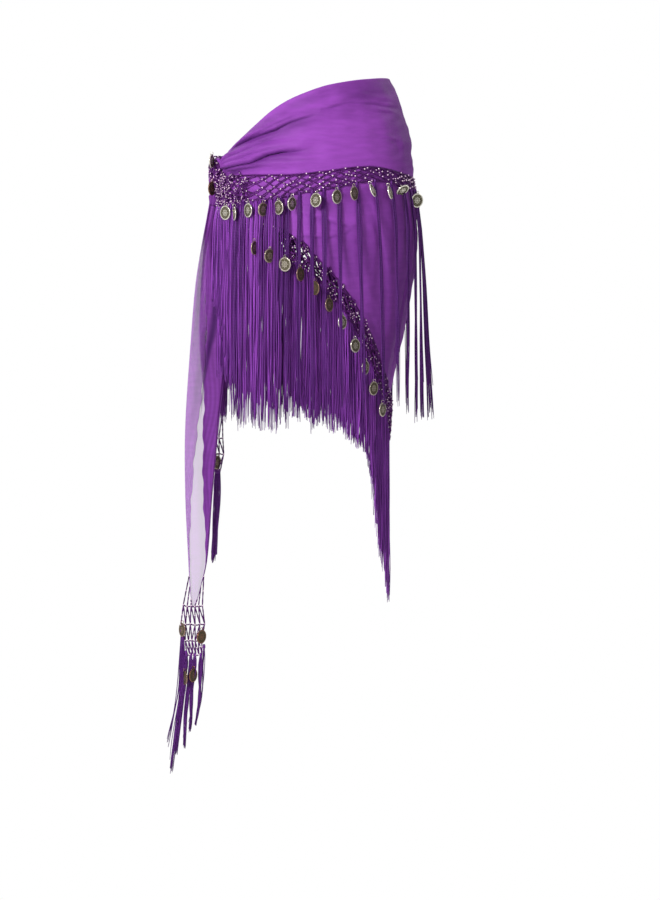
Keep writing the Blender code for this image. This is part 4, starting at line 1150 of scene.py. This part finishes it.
def net_nodes(table, span, columns, rows, out, crowd, chance):
    """Crossing points of a border's net, as points and facings by (column, level)."""
    line = even_line(table, "border", *span)
    trial = [turn_along(line, k / 400) for k in range(401)]
    weight = np.cumsum([0.0] + [1 / crowd(turn) for turn in trial[1:]])
    weight /= weight[-1]
    points, facings = {}, {}
    for i in range(2 * columns + 1):
        turn = float(np.interp(i / (2 * columns), weight, trial))
        ease = 1 - 1 / crowd(turn)
        hem = float(curve(table, "hem", turn, "turn"))
        border = float(curve(table, "border", turn, "turn"))
        for level in range(rows + 1):
            if (i + level) % 2:
                continue
            shake = 0.0011 + 0.0035 * abs(ease)
            height = hem + (border - hem) * level / rows + chance.uniform(-shake, shake) * (0 < level < rows)
            at = turn + chance.uniform(-shake, shake) / ARC * 0.6 * (0 < i < 2 * columns)
            away = out + 0.0008 + chance.uniform(0, 0.0006 + 0.006 * abs(ease))
            points[i, level] = place(at, height, away)
            facings[i, level] = outward(at, height)
    return points, facings


def lay_net(lattice, points, facings, columns, rows, bead_share):
    """Cords along all the diagonals of a net, chains along its edges, and beads."""
    chance = lattice.chance
    size = net_settings().bead
    for (i, level), start in points.items():
        for step in (-1, 1):
            end = points.get((i + step, level + 1))
            if end is not None:
                facing = facings[i, level]
                lattice.cord(start, end, facing, chance.uniform(0.0002, 0.0010))
                if chance.random() < bead_share * 0.45:
                    middle = (start + end) / 2 + facing * 0.0010
                    lattice.bead(middle, facing, size * chance.uniform(0.75, 1.0))
        if level in (0, rows) and (i + 2, level) in points:
            lattice.cord(start, points[i + 2, level], facings[i, level],
                         0.0002 if level == 0 else chance.uniform(0.0008, 0.0022))
        if chance.random() < bead_share:
            facing = facings[i, level]
            lattice.bead(start + facing * 0.0014, facing, size * chance.uniform(0.85, 1.15))


def bead_model():
    """A seed bead: a small ball, flattened at its threaded ends."""
    bpy.ops.object.select_all(action="DESELECT")
    bpy.ops.mesh.primitive_uv_sphere_add(segments=8, ring_count=6, radius=1)
    model = bpy.context.active_object
    for vert in model.data.vertices:
        vert.co.z = max(-0.82, min(0.82, vert.co.z))
    return model


def bead_piece(name, beads, seed):
    """All beads of a net as one piece."""
    chance = random.Random(seed)
    model = bead_model()
    places = []
    for point, facing, size in beads:
        twist = Matrix.Rotation(chance.uniform(0, math.pi), 4, Vector(facing))
        tip = Vector(facing).orthogonal().to_track_quat("Z", "Y").to_matrix().to_4x4()
        places.append(Matrix.Translation(Vector(point)) @ twist @ tip @ Matrix.Scale(size, 4))
    tones = [chance.uniform(0.2, 1.0) for _ in beads]
    piece = copies(name, model, places, bead_finish(), {"tone": tones})
    bpy.data.objects.remove(model)
    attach(piece, "root")
    return piece


def crowd_back(turn):
    """How closely the back's cells are crowded together, towards the knot."""
    return 2.4 - 1.4 * float(smooth_step((turn + 54) / 26))


def crowd_front(turn):
    """How closely the front's cells are crowded together, towards the knot."""
    return 1.0 + 1.0 * float(smooth_step((turn - 228) / 26))


# Rows of cells in each border's net, and the share of its knots that carry a bead.
UPPER_NET = (6, 0.62)
UNDER_NET = (4, 0.55)

# Loose cords where a border is drawn together: their number near the knot, back and front, along each
# short side, and at the point. The short sides' cords are this much thicker than the setting.
UPPER_LOOSE = {"back": 230, "front": 90}
UNDER_LOOSE = {"side": 350, "point": 60}
POINT_SPANS = {"back": (80, 88), "front": (92, 100)}
UNDER_CORD = 1.45


class HIPSCARF_OT_border_nets(bpy.types.Operator):
    """Makes the crocheted borders of the fold and of the short sides, with their beads."""

    bl_idname = "hip_scarf.border_nets"
    bl_label = "Border nets"

    def execute(self, context):
        net = net_settings()
        spans = halves()
        upper = Lattice(21)
        for half, span in spans.items():
            crowd = crowd_back if half == "back" else crowd_front
            points, facings = net_nodes(UPPER, span, net.upper_cells, UPPER_NET[0], UPPER_OUT, crowd,
                                        upper.chance)
            lay_net(upper, points, facings, net.upper_cells, *UPPER_NET)
        self.crumple(upper, UPPER, UPPER_OUT, (spans["back"][0] + 1, -44), UPPER_LOOSE["back"])
        self.crumple(upper, UPPER, UPPER_OUT, (246, spans["front"][1] - 1), UPPER_LOOSE["front"])
        settle(upper.cord_piece("upper_net_cords", net.cord, net_cord_finish()), "yarn",
               "upper_net_back", "upper_net_front")
        bead_piece("upper_net_beads", upper.beads, 31)
        under = Lattice(22)
        for half, span in spans.items():
            points, facings = net_nodes(UNDER, span, net.under_cells, UNDER_NET[0], 0.0004, lambda turn: 1.0,
                                        under.chance)
            lay_net(under, points, facings, net.under_cells, *UNDER_NET)
            self.crumple(under, UNDER, -0.0010, span, UNDER_LOOSE["side"])
            self.crumple(under, UNDER, -0.0010, POINT_SPANS[half], UNDER_LOOSE["point"])
        settle(under.cord_piece("under_net_cords", net.cord * UNDER_CORD, net_cord_finish()), "yarn",
               "under_net_back", "under_net_front")
        bead_piece("under_net_beads", under.beads, 32)
        return {"FINISHED"}

    def crumple(self, lattice, table, out, span, count):
        """Loose cords over each other, where the net is drawn together."""
        chance = lattice.chance
        size = net_settings().bead
        often, gathered = (0.4, 1.4) if table is UPPER else (0.26, 1.0)
        for _ in range(count):
            toward_knot = chance.random() ** gathered
            near, far = span if span[0] < 0 else span[::-1]
            start = near + (far - near) * toward_knot
            hem = float(curve(table, "hem", start, "turn"))
            border = float(curve(table, "border", start, "turn")) - 0.006
            t = np.linspace(0, 1, 8)
            drift = t * chance.uniform(-4, 4)
            turn = start + drift + np.sin(t * chance.uniform(2, 6)) * chance.uniform(0.2, 1.2)
            turn = np.clip(turn, min(span), max(span))
            before, after = curve(table, "hem", (start - 1, start + 1), "turn")
            level = chance.uniform(border, hem)
            height = level + t * chance.uniform(-0.010, 0.010) + (turn - start) * (after - before) / 2
            height = height + np.sin(t * chance.uniform(2, 6)) * 0.002
            away = out + 0.0012 + chance.uniform(0, 0.0045) + 0.0015 * np.sin(np.pi * t)
            facing = outward(start, float(height[0]))
            path = place(turn, height, away)
            lattice.run(path, facing)
            for point in (path[0], path[3], path[6]):
                if chance.random() < often:
                    lattice.bead(point + facing * 0.0012, facing, size * chance.uniform(0.6, 0.9))


# Levels of the long corner's net in metres, from its edge cords down to its lowest rung.
LONG_RUNGS = (-0.728, -0.785, -0.816, -0.843, -0.866)
SHORT_RUNGS = (-0.470, -0.508, -0.535, -0.562)


class HIPSCARF_OT_tail_nets(bpy.types.Operator):
    """Makes the ladder-like nets at the tips of both hanging corners."""

    bl_idname = "hip_scarf.tail_nets"
    bl_label = "Corner nets"

    def execute(self, context):
        net = net_settings()
        lattice = Lattice(23)
        for table, cloth, rungs, posts in ((LONG_TAIL_NET, LONG_TAIL, LONG_RUNGS, 6),
                                           (SHORT_TAIL_NET, SHORT_TAIL, SHORT_RUNGS, 4)):
            self.ladder(lattice, table, cloth, rungs, posts, net)
        settle(lattice.cord_piece("tail_net_cords", net.cord * 1.05, net_cord_finish()), "yarn",
               "long_tail_net", "short_tail_net")
        bead_piece("tail_net_beads", lattice.beads, 33)
        return {"FINISHED"}

    def ladder(self, lattice, table, cloth, rungs, posts, net):
        """Long upright cords, tied together at each rung, that start from the corner's two edges."""
        chance = lattice.chance
        facing = np.array((0.0, -1.0, 0.0))
        depth = float(curve(cloth, "left_depth", cloth["height"][0], "height")) - TAIL_NET_OUT
        tip = cloth["height"][0]

        def point(share, level):
            height = rungs[level]
            left = float(curve(table, "left", height, "height"))
            right = float(curve(table, "right", height, "height"))
            return np.array((left + (right - left) * share, depth + chance.uniform(-0.001, 0.001),
                             height + chance.uniform(-0.0015, 0.0015)))

        rows = {}
        for level in range(1, len(rungs)):
            rows[level] = [point((k + 0.5) / posts if level % 2 else k / (posts - 1), level)
                           for k in range(posts)]
        for k, start in enumerate(rows[1]):
            share = (k + 0.5) / posts
            climb = abs(share - 0.5) * 2
            height = tip + (rungs[0] - tip) * climb**0.8
            side = "left" if share < 0.5 else "right"
            edge = float(curve(cloth, side, height, "height"))
            edge_depth = float(curve(cloth, side + "_depth", height, "height")) - 0.0016
            anchor = np.array((edge, edge_depth, height))
            lattice.cord(anchor, start, facing, 0.0)
            lattice.bead(anchor + facing * 0.001, facing, net.bead * 0.9)
            lattice.bead((anchor + start) / 2 + facing * 0.001, facing, net.bead * 0.8)
        for level in range(1, len(rungs) - 1):
            for k, start in enumerate(rows[level]):
                for other in {min(k, posts - 1), min(k + 1, posts - 1)} if level % 2 else {k, max(k - 1, 0)}:
                    end = rows[level + 1][other]
                    lattice.cord(start, end, facing, 0.0)
                    if chance.random() < 0.5:
                        lattice.bead((start + end) / 2 + facing * 0.001, facing, net.bead * 0.8)
        for level, row in rows.items():
            for one, other in zip(row, row[1:]):
                lattice.cord(one, other, facing, 0.0012)
            for start in row:
                lattice.bead(start + facing * 0.0012, facing, net.bead)


def fringe_settings():
    return bpy.context.scene.hip_scarf_fringe


def fringe_finish():
    fringe = fringe_settings()
    return yarn_finish("Rayon fringe", list(fringe.dark), list(fringe.bright), 260.0, 0.42)


# Locks of the long side: where those set close together end, on the back and the front, the degrees from
# one lock to the next, and the heights of their tips, which are higher right of the back's middle.
CLOSE_SET = {"back": -16, "front": 236}
LOCK_STEP = {"close": 3.4, "apart": 6.2}
LOCK_TIP = -0.478
RAISED_TIP = -0.452
SIDE_LOCKS = 30


def upper_strands(chance, half, span):
    """Locks of the long side: close together near the knot, one to a cell farther round."""
    strands = []
    turn = span[0] + 1.6 if half == "back" else span[0] + 2
    while turn < span[1] - 1.2:
        near_knot = turn < CLOSE_SET["back"] if half == "back" else turn > CLOSE_SET["front"]
        lean = chance.uniform(-0.003, 0.003)
        if half == "back":
            lean += 0.012 * math.sin(math.radians(max(0.0, min(180.0, turn * 2.4))))
        tip = LOCK_TIP + chance.uniform(-0.014, 0.010)
        if 10 < turn < 45:
            tip = RAISED_TIP + chance.uniform(-0.010, 0.008)
        strands.append((turn, lean, tip, chance.uniform(0.0, 0.004)))
        turn += LOCK_STEP["close" if near_knot else "apart"] + chance.uniform(-0.4, 0.4)
    return strands


def under_strands(chance, span):
    """Locks of the two short sides, closer together where the border runs steeply."""
    strands = []
    line = even_line(UNDER, "border", *span)
    for k in range(SIDE_LOCKS):
        turn = turn_along(line, (k + 0.5 + chance.uniform(-0.15, 0.15)) / SIDE_LOCKS)
        border = float(curve(UNDER, "border", turn, "turn"))
        length = float(curve(UNDER_FRINGE, "length", turn, "turn")) + chance.uniform(-0.012, 0.012)
        strands.append((turn, chance.uniform(-0.0012, 0.0012), border - length, chance.uniform(0.0, 0.002)))
    return strands


def tail_strands(chance, count, shift, tips):
    """Locks under a tail, swept aside together."""
    strands = []
    for k in range(count):
        share = (k + 0.6) / (count + 0.2)
        tip = tips[0] + (tips[1] - tips[0]) * k / (count - 1) + chance.uniform(-0.004, 0.004)
        strands.append((share, shift * (1.1 - 0.2 * share), tip))
    return strands


def all_strands():
    """Every lock, in the order in which the solids' strands are laid, which the random draws follow too."""
    chance = random.Random(11)
    strands = {}
    for half, span in halves().items():
        strands["upper", half] = upper_strands(chance, half, span)
        strands["under", half] = under_strands(chance, span)
    strands["long"] = tail_strands(chance, 7, -0.022, (-1.060, -1.025))
    strands["short"] = tail_strands(chance, 5, -0.006, (-0.715, -0.700))
    return strands


def hanging_line(root, knee, tip, steps):
    """Line from a root over the hip's widest place and straight down to a tip."""
    height = np.linspace(root[2], tip[2], steps)
    order = slice(None, None, -1)
    marks = np.array((root[2], knee[2], tip[2]))[order]
    x = np.interp(height, marks, np.array((root[0], knee[0], tip[0]))[order])
    y = np.interp(height, marks, np.array((root[1], knee[1], tip[1]))[order])
    line = np.stack((x, y, height), -1)
    for _ in range(2):
        line[1:-1] = (line[:-2] + 2 * line[1:-1] + line[2:]) / 4
    return line


class Fringe:
    """Threads of a fringe, gathered lock by lock."""

    def __init__(self, seed):
        self.chance = random.Random(seed)
        self.paths, self.radii, self.facings, self.tones = [], [], [], []

    def lock(self, line, across, facing, width, threads, tone, layers=1, spread=1.0):
        """One lock: fine threads side by side, gathered by their loop and freer towards their tips."""
        chance = self.chance
        steps = len(line)
        t = np.linspace(0, 1, steps)
        for k in range(threads):
            offset = (k - (threads - 1) / 2) / max(threads - 1, 1) * 2 + chance.uniform(-0.15, 0.15)
            gather = (0.45 + 0.55 * smooth_step(t / 0.10)) * (1 - 0.35 * t**3)
            wide = offset * width / 2 * gather * (1 + (spread - 1) * t) + \
                chance.uniform(-0.5, 0.5) * width * 0.3 * t**2
            swing = 0.0011 * np.sin(2 * np.pi * (chance.uniform(0.6, 1.8) * t + chance.random())) * \
                smooth_step(t / 0.2)
            ahead = 0.0009 * (k % layers) + chance.uniform(-0.0006, 0.0006) + \
                0.0012 * np.sin(2 * np.pi * (chance.uniform(0.5, 1.5) * t + chance.random())) * t
            path = line + across * (wide + swing)[:, None] + facing * np.maximum(ahead, -0.0006)[:, None]
            shorter = chance.uniform(0.955, 1.01) if chance.random() < 0.8 else chance.uniform(0.82, 0.955)
            path[:, 2] = line[0, 2] + (line[:, 2] - line[0, 2]) * shorter
            half = fringe_settings().thread * chance.uniform(0.8, 1.15)
            self.paths.append(path)
            self.radii.append(half * np.interp(t, (0, 0.05, 0.85, 1), (1.1, 1.0, 0.9, 0.55)))
            self.facings.append(facing)
            spread_tone = chance.choice((-0.42, -0.30, -0.12, -0.04, 0.10, 0.54)) if layers > 2 else 0.0
            self.tones.append(min(1.0, max(0.0, tone + spread_tone + chance.uniform(-0.10, 0.12))))

    def head(self, root, facing, size):
        """The loop that ties a lock on: a small swelling at its root."""
        up = np.array((0.0, 0.0, 1.0))
        t = np.linspace(0, 1, len(self.paths[0]))
        self.paths.append(root + up * (0.0035 - 0.0085 * t)[:, None] + facing * 0.0006)
        self.radii.append(size * (0.35 + 0.65 * np.sin(np.pi * np.clip(t * 0.9 + 0.08, 0, 1)) ** 0.6))
        self.facings.append(facing)
        self.tones.append(0.2)

    def piece(self, name):
        return thread_piece(name, np.stack(self.paths), np.stack(self.radii), 4, np.stack(self.facings),
                            self.tones, fringe_finish())


# Locks of the borders: width, threads more than the setting, tone and layers of threads.
LOCKS_BY_KNOT = (0.0130, 6, 0.34, 4)
LOCKS_APART = (0.0058, -1, 0.03, 2)
LOCKS_OF_SIDES = (0.0100, 0, 0.46, 4)

# Where each border's fringe comes over the hip's widest place, and how far out it hangs from there.
UPPER_SWING = {"height": -0.150, "out": 0.0047}
UNDER_SWING = {"height": -0.195, "out": CLOTH / 2}

# Lowest tips of the locks that would hang over the long corner, by their place across.
BESIDE_TAIL = {
    "across": (-0.190, -0.165, -0.150, -0.140, -0.132),
    "tip": (-0.245, -0.270, -0.325, -0.390, -0.520),
}

# Tassels of the short corner: width, threads and tone.
SHORT_TASSEL = (0.0040, 9, 0.08)


def border_locks(fringe, table, strands, out, swing, look):
    """Locks along a border, each (angle, lean across, tip height, tip out)."""
    width, more, tone, layers = look
    threads = fringe_settings().lock + more
    for turn, lean, tip, tip_out in strands:
        border = float(curve(table, "border", turn, "turn")) - SEAM - STRIP_HEIGHT / 2
        bulge = max(min(border - 0.004, swing["height"]), tip)
        root = place(turn, border, out + CLOTH / 2)
        knee = place(turn, bulge, out + swing["out"])
        facing = outward(turn, bulge)
        across = np.array((-facing[1], facing[0], 0.0))
        end = np.array((knee[0], knee[1], tip)) + facing * tip_out + across * lean
        line = hanging_line(root, knee + across * lean * 0.1, end, 13)
        fringe.lock(line, across, facing, width, threads, tone, layers)
        fringe.head(root, facing, 0.0020)


class HIPSCARF_OT_fringes(bpy.types.Operator):
    """Makes the fringes of the fold and of the short sides."""

    bl_idname = "hip_scarf.fringes"
    bl_label = "Fringes"

    def execute(self, context):
        strands = all_strands()
        upper, under = Fringe(41), Fringe(42)
        near_knot = [self.beside_tail(strand) for strand in strands["upper", "back"] if strand[0] < -19]
        apart = list(BACK_LOCKS)
        apart += [(one[0] + 3.1, *one[1:]) for one in strands["upper", "front"][::2] if one[0] < CLOSE_SET["front"] - 2]
        near_knot += [strand for strand in strands["upper", "front"] if strand[0] >= CLOSE_SET["front"]]
        border_locks(upper, UPPER, near_knot, UPPER_OUT, UPPER_SWING, LOCKS_BY_KNOT)
        border_locks(upper, UPPER, apart, UPPER_OUT, UPPER_SWING, LOCKS_APART)
        for half in ("back", "front"):
            own = strands["under", half]
            between = [tuple((a + b) / 2 for a, b in zip(one, other)) for one, other in zip(own, own[1:])]
            border_locks(under, UNDER, own + between, 0, UNDER_SWING, LOCKS_OF_SIDES)
        settle(upper.piece("upper_fringe_threads"), "yarn", "upper_fringe_back", "upper_fringe_front")
        settle(under.piece("under_fringe_threads"), "yarn", "under_fringe_back", "under_fringe_front")
        return {"FINISHED"}

    def beside_tail(self, strand):
        """The same lock, cut short where it would hang over the long corner."""
        turn, lean, tip, tip_out = strand
        across = float(place(turn, max(tip, -0.150), UPPER_OUT)[0])
        least = float(np.interp(across, BESIDE_TAIL["across"], BESIDE_TAIL["tip"]))
        return turn, lean, max(tip, least), tip_out


class HIPSCARF_OT_tassels(bpy.types.Operator):
    """Makes the tassels under both hanging corners."""

    bl_idname = "hip_scarf.tassels"
    bl_label = "Tassels"

    def execute(self, context):
        strands = all_strands()
        tassels = Fringe(43)
        facing, across = np.array((0.0, -1.0, 0.0)), np.array((1.0, 0.0, 0.0))
        t = np.linspace(0, 1, 15)
        depth = LONG_TAIL["left_depth"][0] - LONG_TAIL["wave"][0] - TAIL_NET_OUT
        for number, (start, top, end, tip, width, threads) in enumerate(LONG_TASSELS):
            bow = 0.0035 * np.sin(np.pi * t * 1.3 + number) * t
            line = np.stack((start + (end - start) * t**1.5 + bow, depth - 0.0012 * (number % 3) + 0 * t,
                             top - 0.001 + (tip - top) * t), -1)
            tassels.lock(line, across, facing, width, threads, 0.02, layers=2, spread=0.7)
            tassels.head(line[0], facing, 0.0024)
        bottom = SHORT_TAIL_NET["height"][0] - SEAM
        left, right = SHORT_TAIL_NET["left"][0], SHORT_TAIL_NET["right"][0]
        depth = SHORT_TAIL["left_depth"][0] - SHORT_TAIL["wave"][0] - TAIL_NET_OUT
        for share, shift, tip in strands["short"]:
            line = np.stack((left + (right - left) * (0.3 + share * 0.5) + shift * t**1.3, depth + 0 * t,
                             bottom - 0.001 + (tip - bottom) * t), -1)
            tassels.lock(line, across, facing, *SHORT_TASSEL, layers=2, spread=0.6)
            tassels.head(line[0], facing, 0.0022)
        settle(tassels.piece("tassel_threads"), "yarn", "long_tail_tassels", "short_tail_fringe")
        return {"FINISHED"}


# Rings of the coin's face, from the rim inwards: distance from the middle, and height over the field.
COIN_RINGS = ((0.960, 0.26), (0.860, 0.26), (0.810, 0.0), (0.700, 0.0), (0.665, 0.13), (0.625, 0.0),
              (0.480, 0.05), (0.340, 0.16), (0.210, 0.04), (0.120, 0.24))


def coin_model(radius, depth, ring):
    """A struck coin: raised rim, beaded ring and an eight-petalled rosette, with its hanging ring."""
    sides = 32
    bpy.ops.object.select_all(action="DESELECT")
    bpy.ops.mesh.primitive_cylinder_add(vertices=sides, radius=radius, depth=depth,
                                        rotation=(math.pi / 2, 0, 0))
    model = bpy.context.active_object
    bpy.ops.object.transform_apply(rotation=True)
    bpy.ops.object.mode_set(mode="EDIT")
    bpy.ops.mesh.select_mode(type="FACE")
    last = 1.0
    for share, _ in COIN_RINGS:
        bpy.ops.mesh.select_all(action="DESELECT")
        bpy.ops.object.mode_set(mode="OBJECT")
        for polygon in model.data.polygons:
            polygon.select = len(polygon.vertices) == sides
        bpy.ops.object.mode_set(mode="EDIT")
        bpy.ops.mesh.inset(thickness=(last - share) * radius, use_even_offset=False)
        last = share
    bpy.ops.object.mode_set(mode="OBJECT")
    relief = model.data.attributes.new("relief", "FLOAT", "POINT")
    shares = np.array([1.0] + [share for share, _ in COIN_RINGS])[::-1]
    heights = np.array([0.26] + [height for _, height in COIN_RINGS])[::-1]
    for vert in model.data.vertices:
        across, up = vert.co.x, vert.co.z
        share = math.hypot(across, up) / radius
        height = float(np.interp(share, shares, heights))
        around = math.atan2(up, across)
        if 0.22 < share < 0.60:
            height += 0.13 * max(0.0, math.cos(8 * around))
        if 0.62 < share < 0.70:
            height += 0.05 * math.cos(16 * around)
        if share < 0.99:
            vert.co.y += math.copysign(height * 0.001, vert.co.y)
        relief.data[vert.index].value = min(1.0, height / 0.24)
    bpy.ops.mesh.primitive_torus_add(major_segments=14, minor_segments=6, major_radius=ring,
                                     minor_radius=0.00045,
                                     location=(0, 0, radius + ring * 0.55), rotation=(0, math.pi / 2, 0))
    link = bpy.context.active_object
    bpy.ops.object.transform_apply(location=True, rotation=True)
    link.select_set(True)
    model.select_set(True)
    bpy.context.view_layer.objects.active = model
    bpy.ops.object.join()
    relief = model.data.attributes["relief"]
    for vert in model.data.vertices:
        if math.hypot(vert.co.x, vert.co.z) > radius * 1.02:
            relief.data[vert.index].value = 0.9
    return model


class HIPSCARF_OT_coins(bpy.types.Operator):
    """Makes the coins, each turned as it hangs on its own ring."""

    bl_idname = "hip_scarf.coins"
    bl_label = "Coins"

    def execute(self, context):
        chance = random.Random(51)
        settings = context.scene.hip_scarf_coins
        model = coin_model(COIN_RADIUS, settings.depth, settings.ring)
        groups = {"upper_coins": [], "under_coins": [], "tail_coins": []}
        for number, (across, height, heading, lean, tip, tone) in enumerate(UPPER_COINS):
            turn = turn_at(across, height, UPPER_OUT + 0.008)
            groups["upper_coins"].append((f"upper_coin_{number:02d}", self.border_coin(
                UPPER, turn, height, UPPER_OUT, heading, lean, tip, across), tone))
        for number, turn in enumerate(FRONT_COIN_TURNS):
            height = float(curve(UPPER, "border", turn, "turn")) - COIN_RADIUS - 0.004
            heading = turn + chance.choice((-1, 1)) * chance.uniform(20, 55)
            lean = chance.uniform(-8, 8)
            tone = chance.uniform(0.3, 1.0)
            if number == 0:
                turn, heading, lean, tone = SIDE_COIN
            groups["upper_coins"].append((f"front_coin_{number:02d}", self.border_coin(
                UPPER, turn, height, UPPER_OUT, heading, lean, 0), tone))
        for number, (across, height, heading, lean, tip, tone) in enumerate(UNDER_COINS):
            turn = turn_at(across, max(height, -0.195), 0.008)
            groups["under_coins"].append((f"under_coin_{number:02d}", self.border_coin(
                UNDER, turn, height, 0, heading, lean, tip, across), tone))
        for number, (across, height, back, tone, heading) in enumerate(KNOT_COINS):
            centre = np.array((across, KNOT_CENTRE[1] - KNOT_HALF[1] + back - 0.010, height))
            groups["tail_coins"].append((f"knot_coin_{number}", self.standing(centre, heading, 0, 0), tone))
        for prefix, cloth, coins in (("long_tail_coin", LONG_TAIL, LONG_TAIL_COINS),
                                     ("short_tail_coin", SHORT_TAIL, SHORT_TAIL_COINS)):
            depth = float(curve(cloth, "left_depth", cloth["height"][0], "height")) - TAIL_NET_OUT - CLOTH / 2
            for number, (across, height, behind, tone, heading) in enumerate(coins):
                centre = np.array((across, depth - behind * 0.0015 - 0.004, height))
                hung = self.standing(centre, heading, 2, 0)
                groups["tail_coins"].append((f"{prefix}_{number}", hung, tone))
        for name, rows in groups.items():
            nodes, places, tones = zip(*rows)
            piece = copies(name, model, places, coin_finish(), {"tone": tones})
            settle(piece, "coin", *nodes)
        bpy.data.objects.remove(model)
        return {"FINISHED"}

    def border_coin(self, table, turn, height, out, heading, lean, tip, across=None):
        """Place of a coin that hangs beside a border, clear of the cloth however it is turned."""
        strip = float(curve(table, "border", turn, "turn")) - STRIP_HEIGHT / 2
        height = min(height, strip - 0.003 - COIN_RADIUS)
        steep = max(0.0, min(1.0, (-0.205 - height) / 0.060)) if table is UNDER else 0.45
        turned = abs(math.sin(math.radians(heading - turn))) * COIN_RADIUS
        clear = float(np.interp(height, (-0.300, -0.245), (0.0045, 0.0105))) if table is UNDER else 0.0015
        away = out + CLOTH + clear + 0.004 * steep + 0.45 * turned
        centre = place(turn, max(height, min(strip, -0.195)), away)
        centre[2] = height
        if across is not None:
            centre[0] = across
        return self.standing(centre, heading, lean, tip)

    def standing(self, centre, heading, lean, tip):
        """Matrix that stands the coin at a point, turned to its heading, leaning and tipped back."""
        hung = Matrix.Translation(Vector((0, 0, COIN_RADIUS)))
        sway = Matrix.Rotation(math.radians(lean), 4, "Y") @ Matrix.Rotation(math.radians(tip), 4, "X")
        face = Matrix.Rotation(math.radians(heading), 4, "Z")
        return Matrix.Translation(Vector(centre)) @ hung @ sway @ hung.inverted() @ face


# The studio's floor, and how bright its surroundings are to the scarf.
WHITE = (1, 1, 1, 1)
FLOOR = -1.275
FLOOR_HALF = 30
SURROUNDINGS = 0.34

# Soft lights: name, place, height of the point each is turned to, size and power.
LIGHTS = (
    ("key", (-2.6, -3.4, 1.8), -0.3, 1.4, 203),
    ("fill", (2.4, -3.6, 0.6), -0.4, 2.4, 16),
    ("back_left", (-2.4, 1.6, 1.6), -0.3, 1.5, 30),
    ("back_right", (2.4, 1.6, 1.6), -0.3, 1.5, 24),
)

# The camera: its place, lens and sensor in millimetres, how far it looks down in degrees, and its reach.
CAMERA = {"place": (0.020, -5.0, -0.075), "lens": 121.7, "sensor": 36.0, "down": 5.18, "reach": 60}


def area_light(name, place_at, aim, size, power):
    """Soft square light at a point, turned to an aim."""
    data = bpy.data.lights.new(name, "AREA")
    data.size = size
    data.energy = power
    lamp = bpy.data.objects.new(name, data)
    lamp.location = place_at
    lamp.rotation_euler = (Vector(aim) - Vector(place_at)).to_track_quat("-Z", "Y").to_euler()
    bpy.context.scene.collection.objects.link(lamp)


class HIPSCARF_OT_stage(bpy.types.Operator):
    """Makes the white floor and surroundings, the soft lights and the camera."""

    bl_idname = "hip_scarf.stage"
    bl_label = "Studio"

    def execute(self, context):
        half = FLOOR_HALF
        corners = [(x, y, FLOOR) for x, y in ((-half, -half), (half, -half), (half, half), (-half, half))]
        new_piece("studio_floor", np.array(corners), [[0, 1, 2, 3]], stage_finish())
        for name, place_at, aim, size, power in LIGHTS:
            area_light(name, place_at, (0, 0, aim), size, power)
        world = bpy.data.worlds.new("Studio")
        world.use_nodes = True
        tree = world.node_tree
        soft = tree.nodes["Background"]
        soft.inputs["Color"].default_value = WHITE
        soft.inputs["Strength"].default_value = SURROUNDINGS
        white = add_node(tree, "ShaderNodeBackground", {"Color": WHITE})
        camera_or_light(tree, soft.outputs["Background"], white.outputs["Background"], "World Output")
        context.scene.world = world
        data = bpy.data.cameras.new("Photograph")
        data.sensor_width = CAMERA["sensor"]
        data.lens = CAMERA["lens"]
        data.clip_end = CAMERA["reach"]
        context.scene.view_settings.view_transform = "Standard"
        camera = bpy.data.objects.new("Photograph", data)
        camera.location = CAMERA["place"]
        camera.rotation_euler = (math.radians(90 - CAMERA["down"]), 0, 0)
        context.scene.collection.objects.link(camera)
        context.scene.camera = camera
        return {"FINISHED"}


class HIPSCARF_PT_panel(bpy.types.Panel):
    """Lists the steps that build the scarf."""

    bl_label = "Belly dance hip scarf"
    bl_idname = "HIPSCARF_PT_panel"
    bl_space_type = "VIEW_3D"
    bl_region_type = "UI"
    bl_category = "Hip scarf"

    def draw(self, context):
        for group, kind in SETTINGS.items():
            for name in kind.__annotations__:
                self.layout.prop(getattr(context.scene, group), name)
        for operator in OPERATORS:
            self.layout.operator(operator.bl_idname)


SETTINGS = {
    "hip_scarf_cloth": ScarfCloth,
    "hip_scarf_net": ScarfNet,
    "hip_scarf_fringe": ScarfFringe,
    "hip_scarf_coins": ScarfCoins,
}
OPERATORS = (
    HIPSCARF_OT_upper_cloth,
    HIPSCARF_OT_under_cloth,
    HIPSCARF_OT_tails,
    HIPSCARF_OT_tied_knot,
    HIPSCARF_OT_knot_net,
    HIPSCARF_OT_border_nets,
    HIPSCARF_OT_tail_nets,
    HIPSCARF_OT_fringes,
    HIPSCARF_OT_tassels,
    HIPSCARF_OT_coins,
    HIPSCARF_OT_stage,
)


def register():
    for group in (*SETTINGS.values(), *OPERATORS, HIPSCARF_PT_panel):
        bpy.utils.register_class(group)
    for name, group in SETTINGS.items():
        setattr(bpy.types.Scene, name, PointerProperty(type=group))


def unregister():
    for name in SETTINGS:
        delattr(bpy.types.Scene, name)
    for group in (HIPSCARF_PT_panel, *reversed(OPERATORS), *reversed(list(SETTINGS.values()))):
        bpy.utils.unregister_class(group)


def main():
    register()
    for operator in OPERATORS:
        group, name = operator.bl_idname.split(".")
        getattr(getattr(bpy.ops, group), name)()


if __name__ == "__main__":
    main()
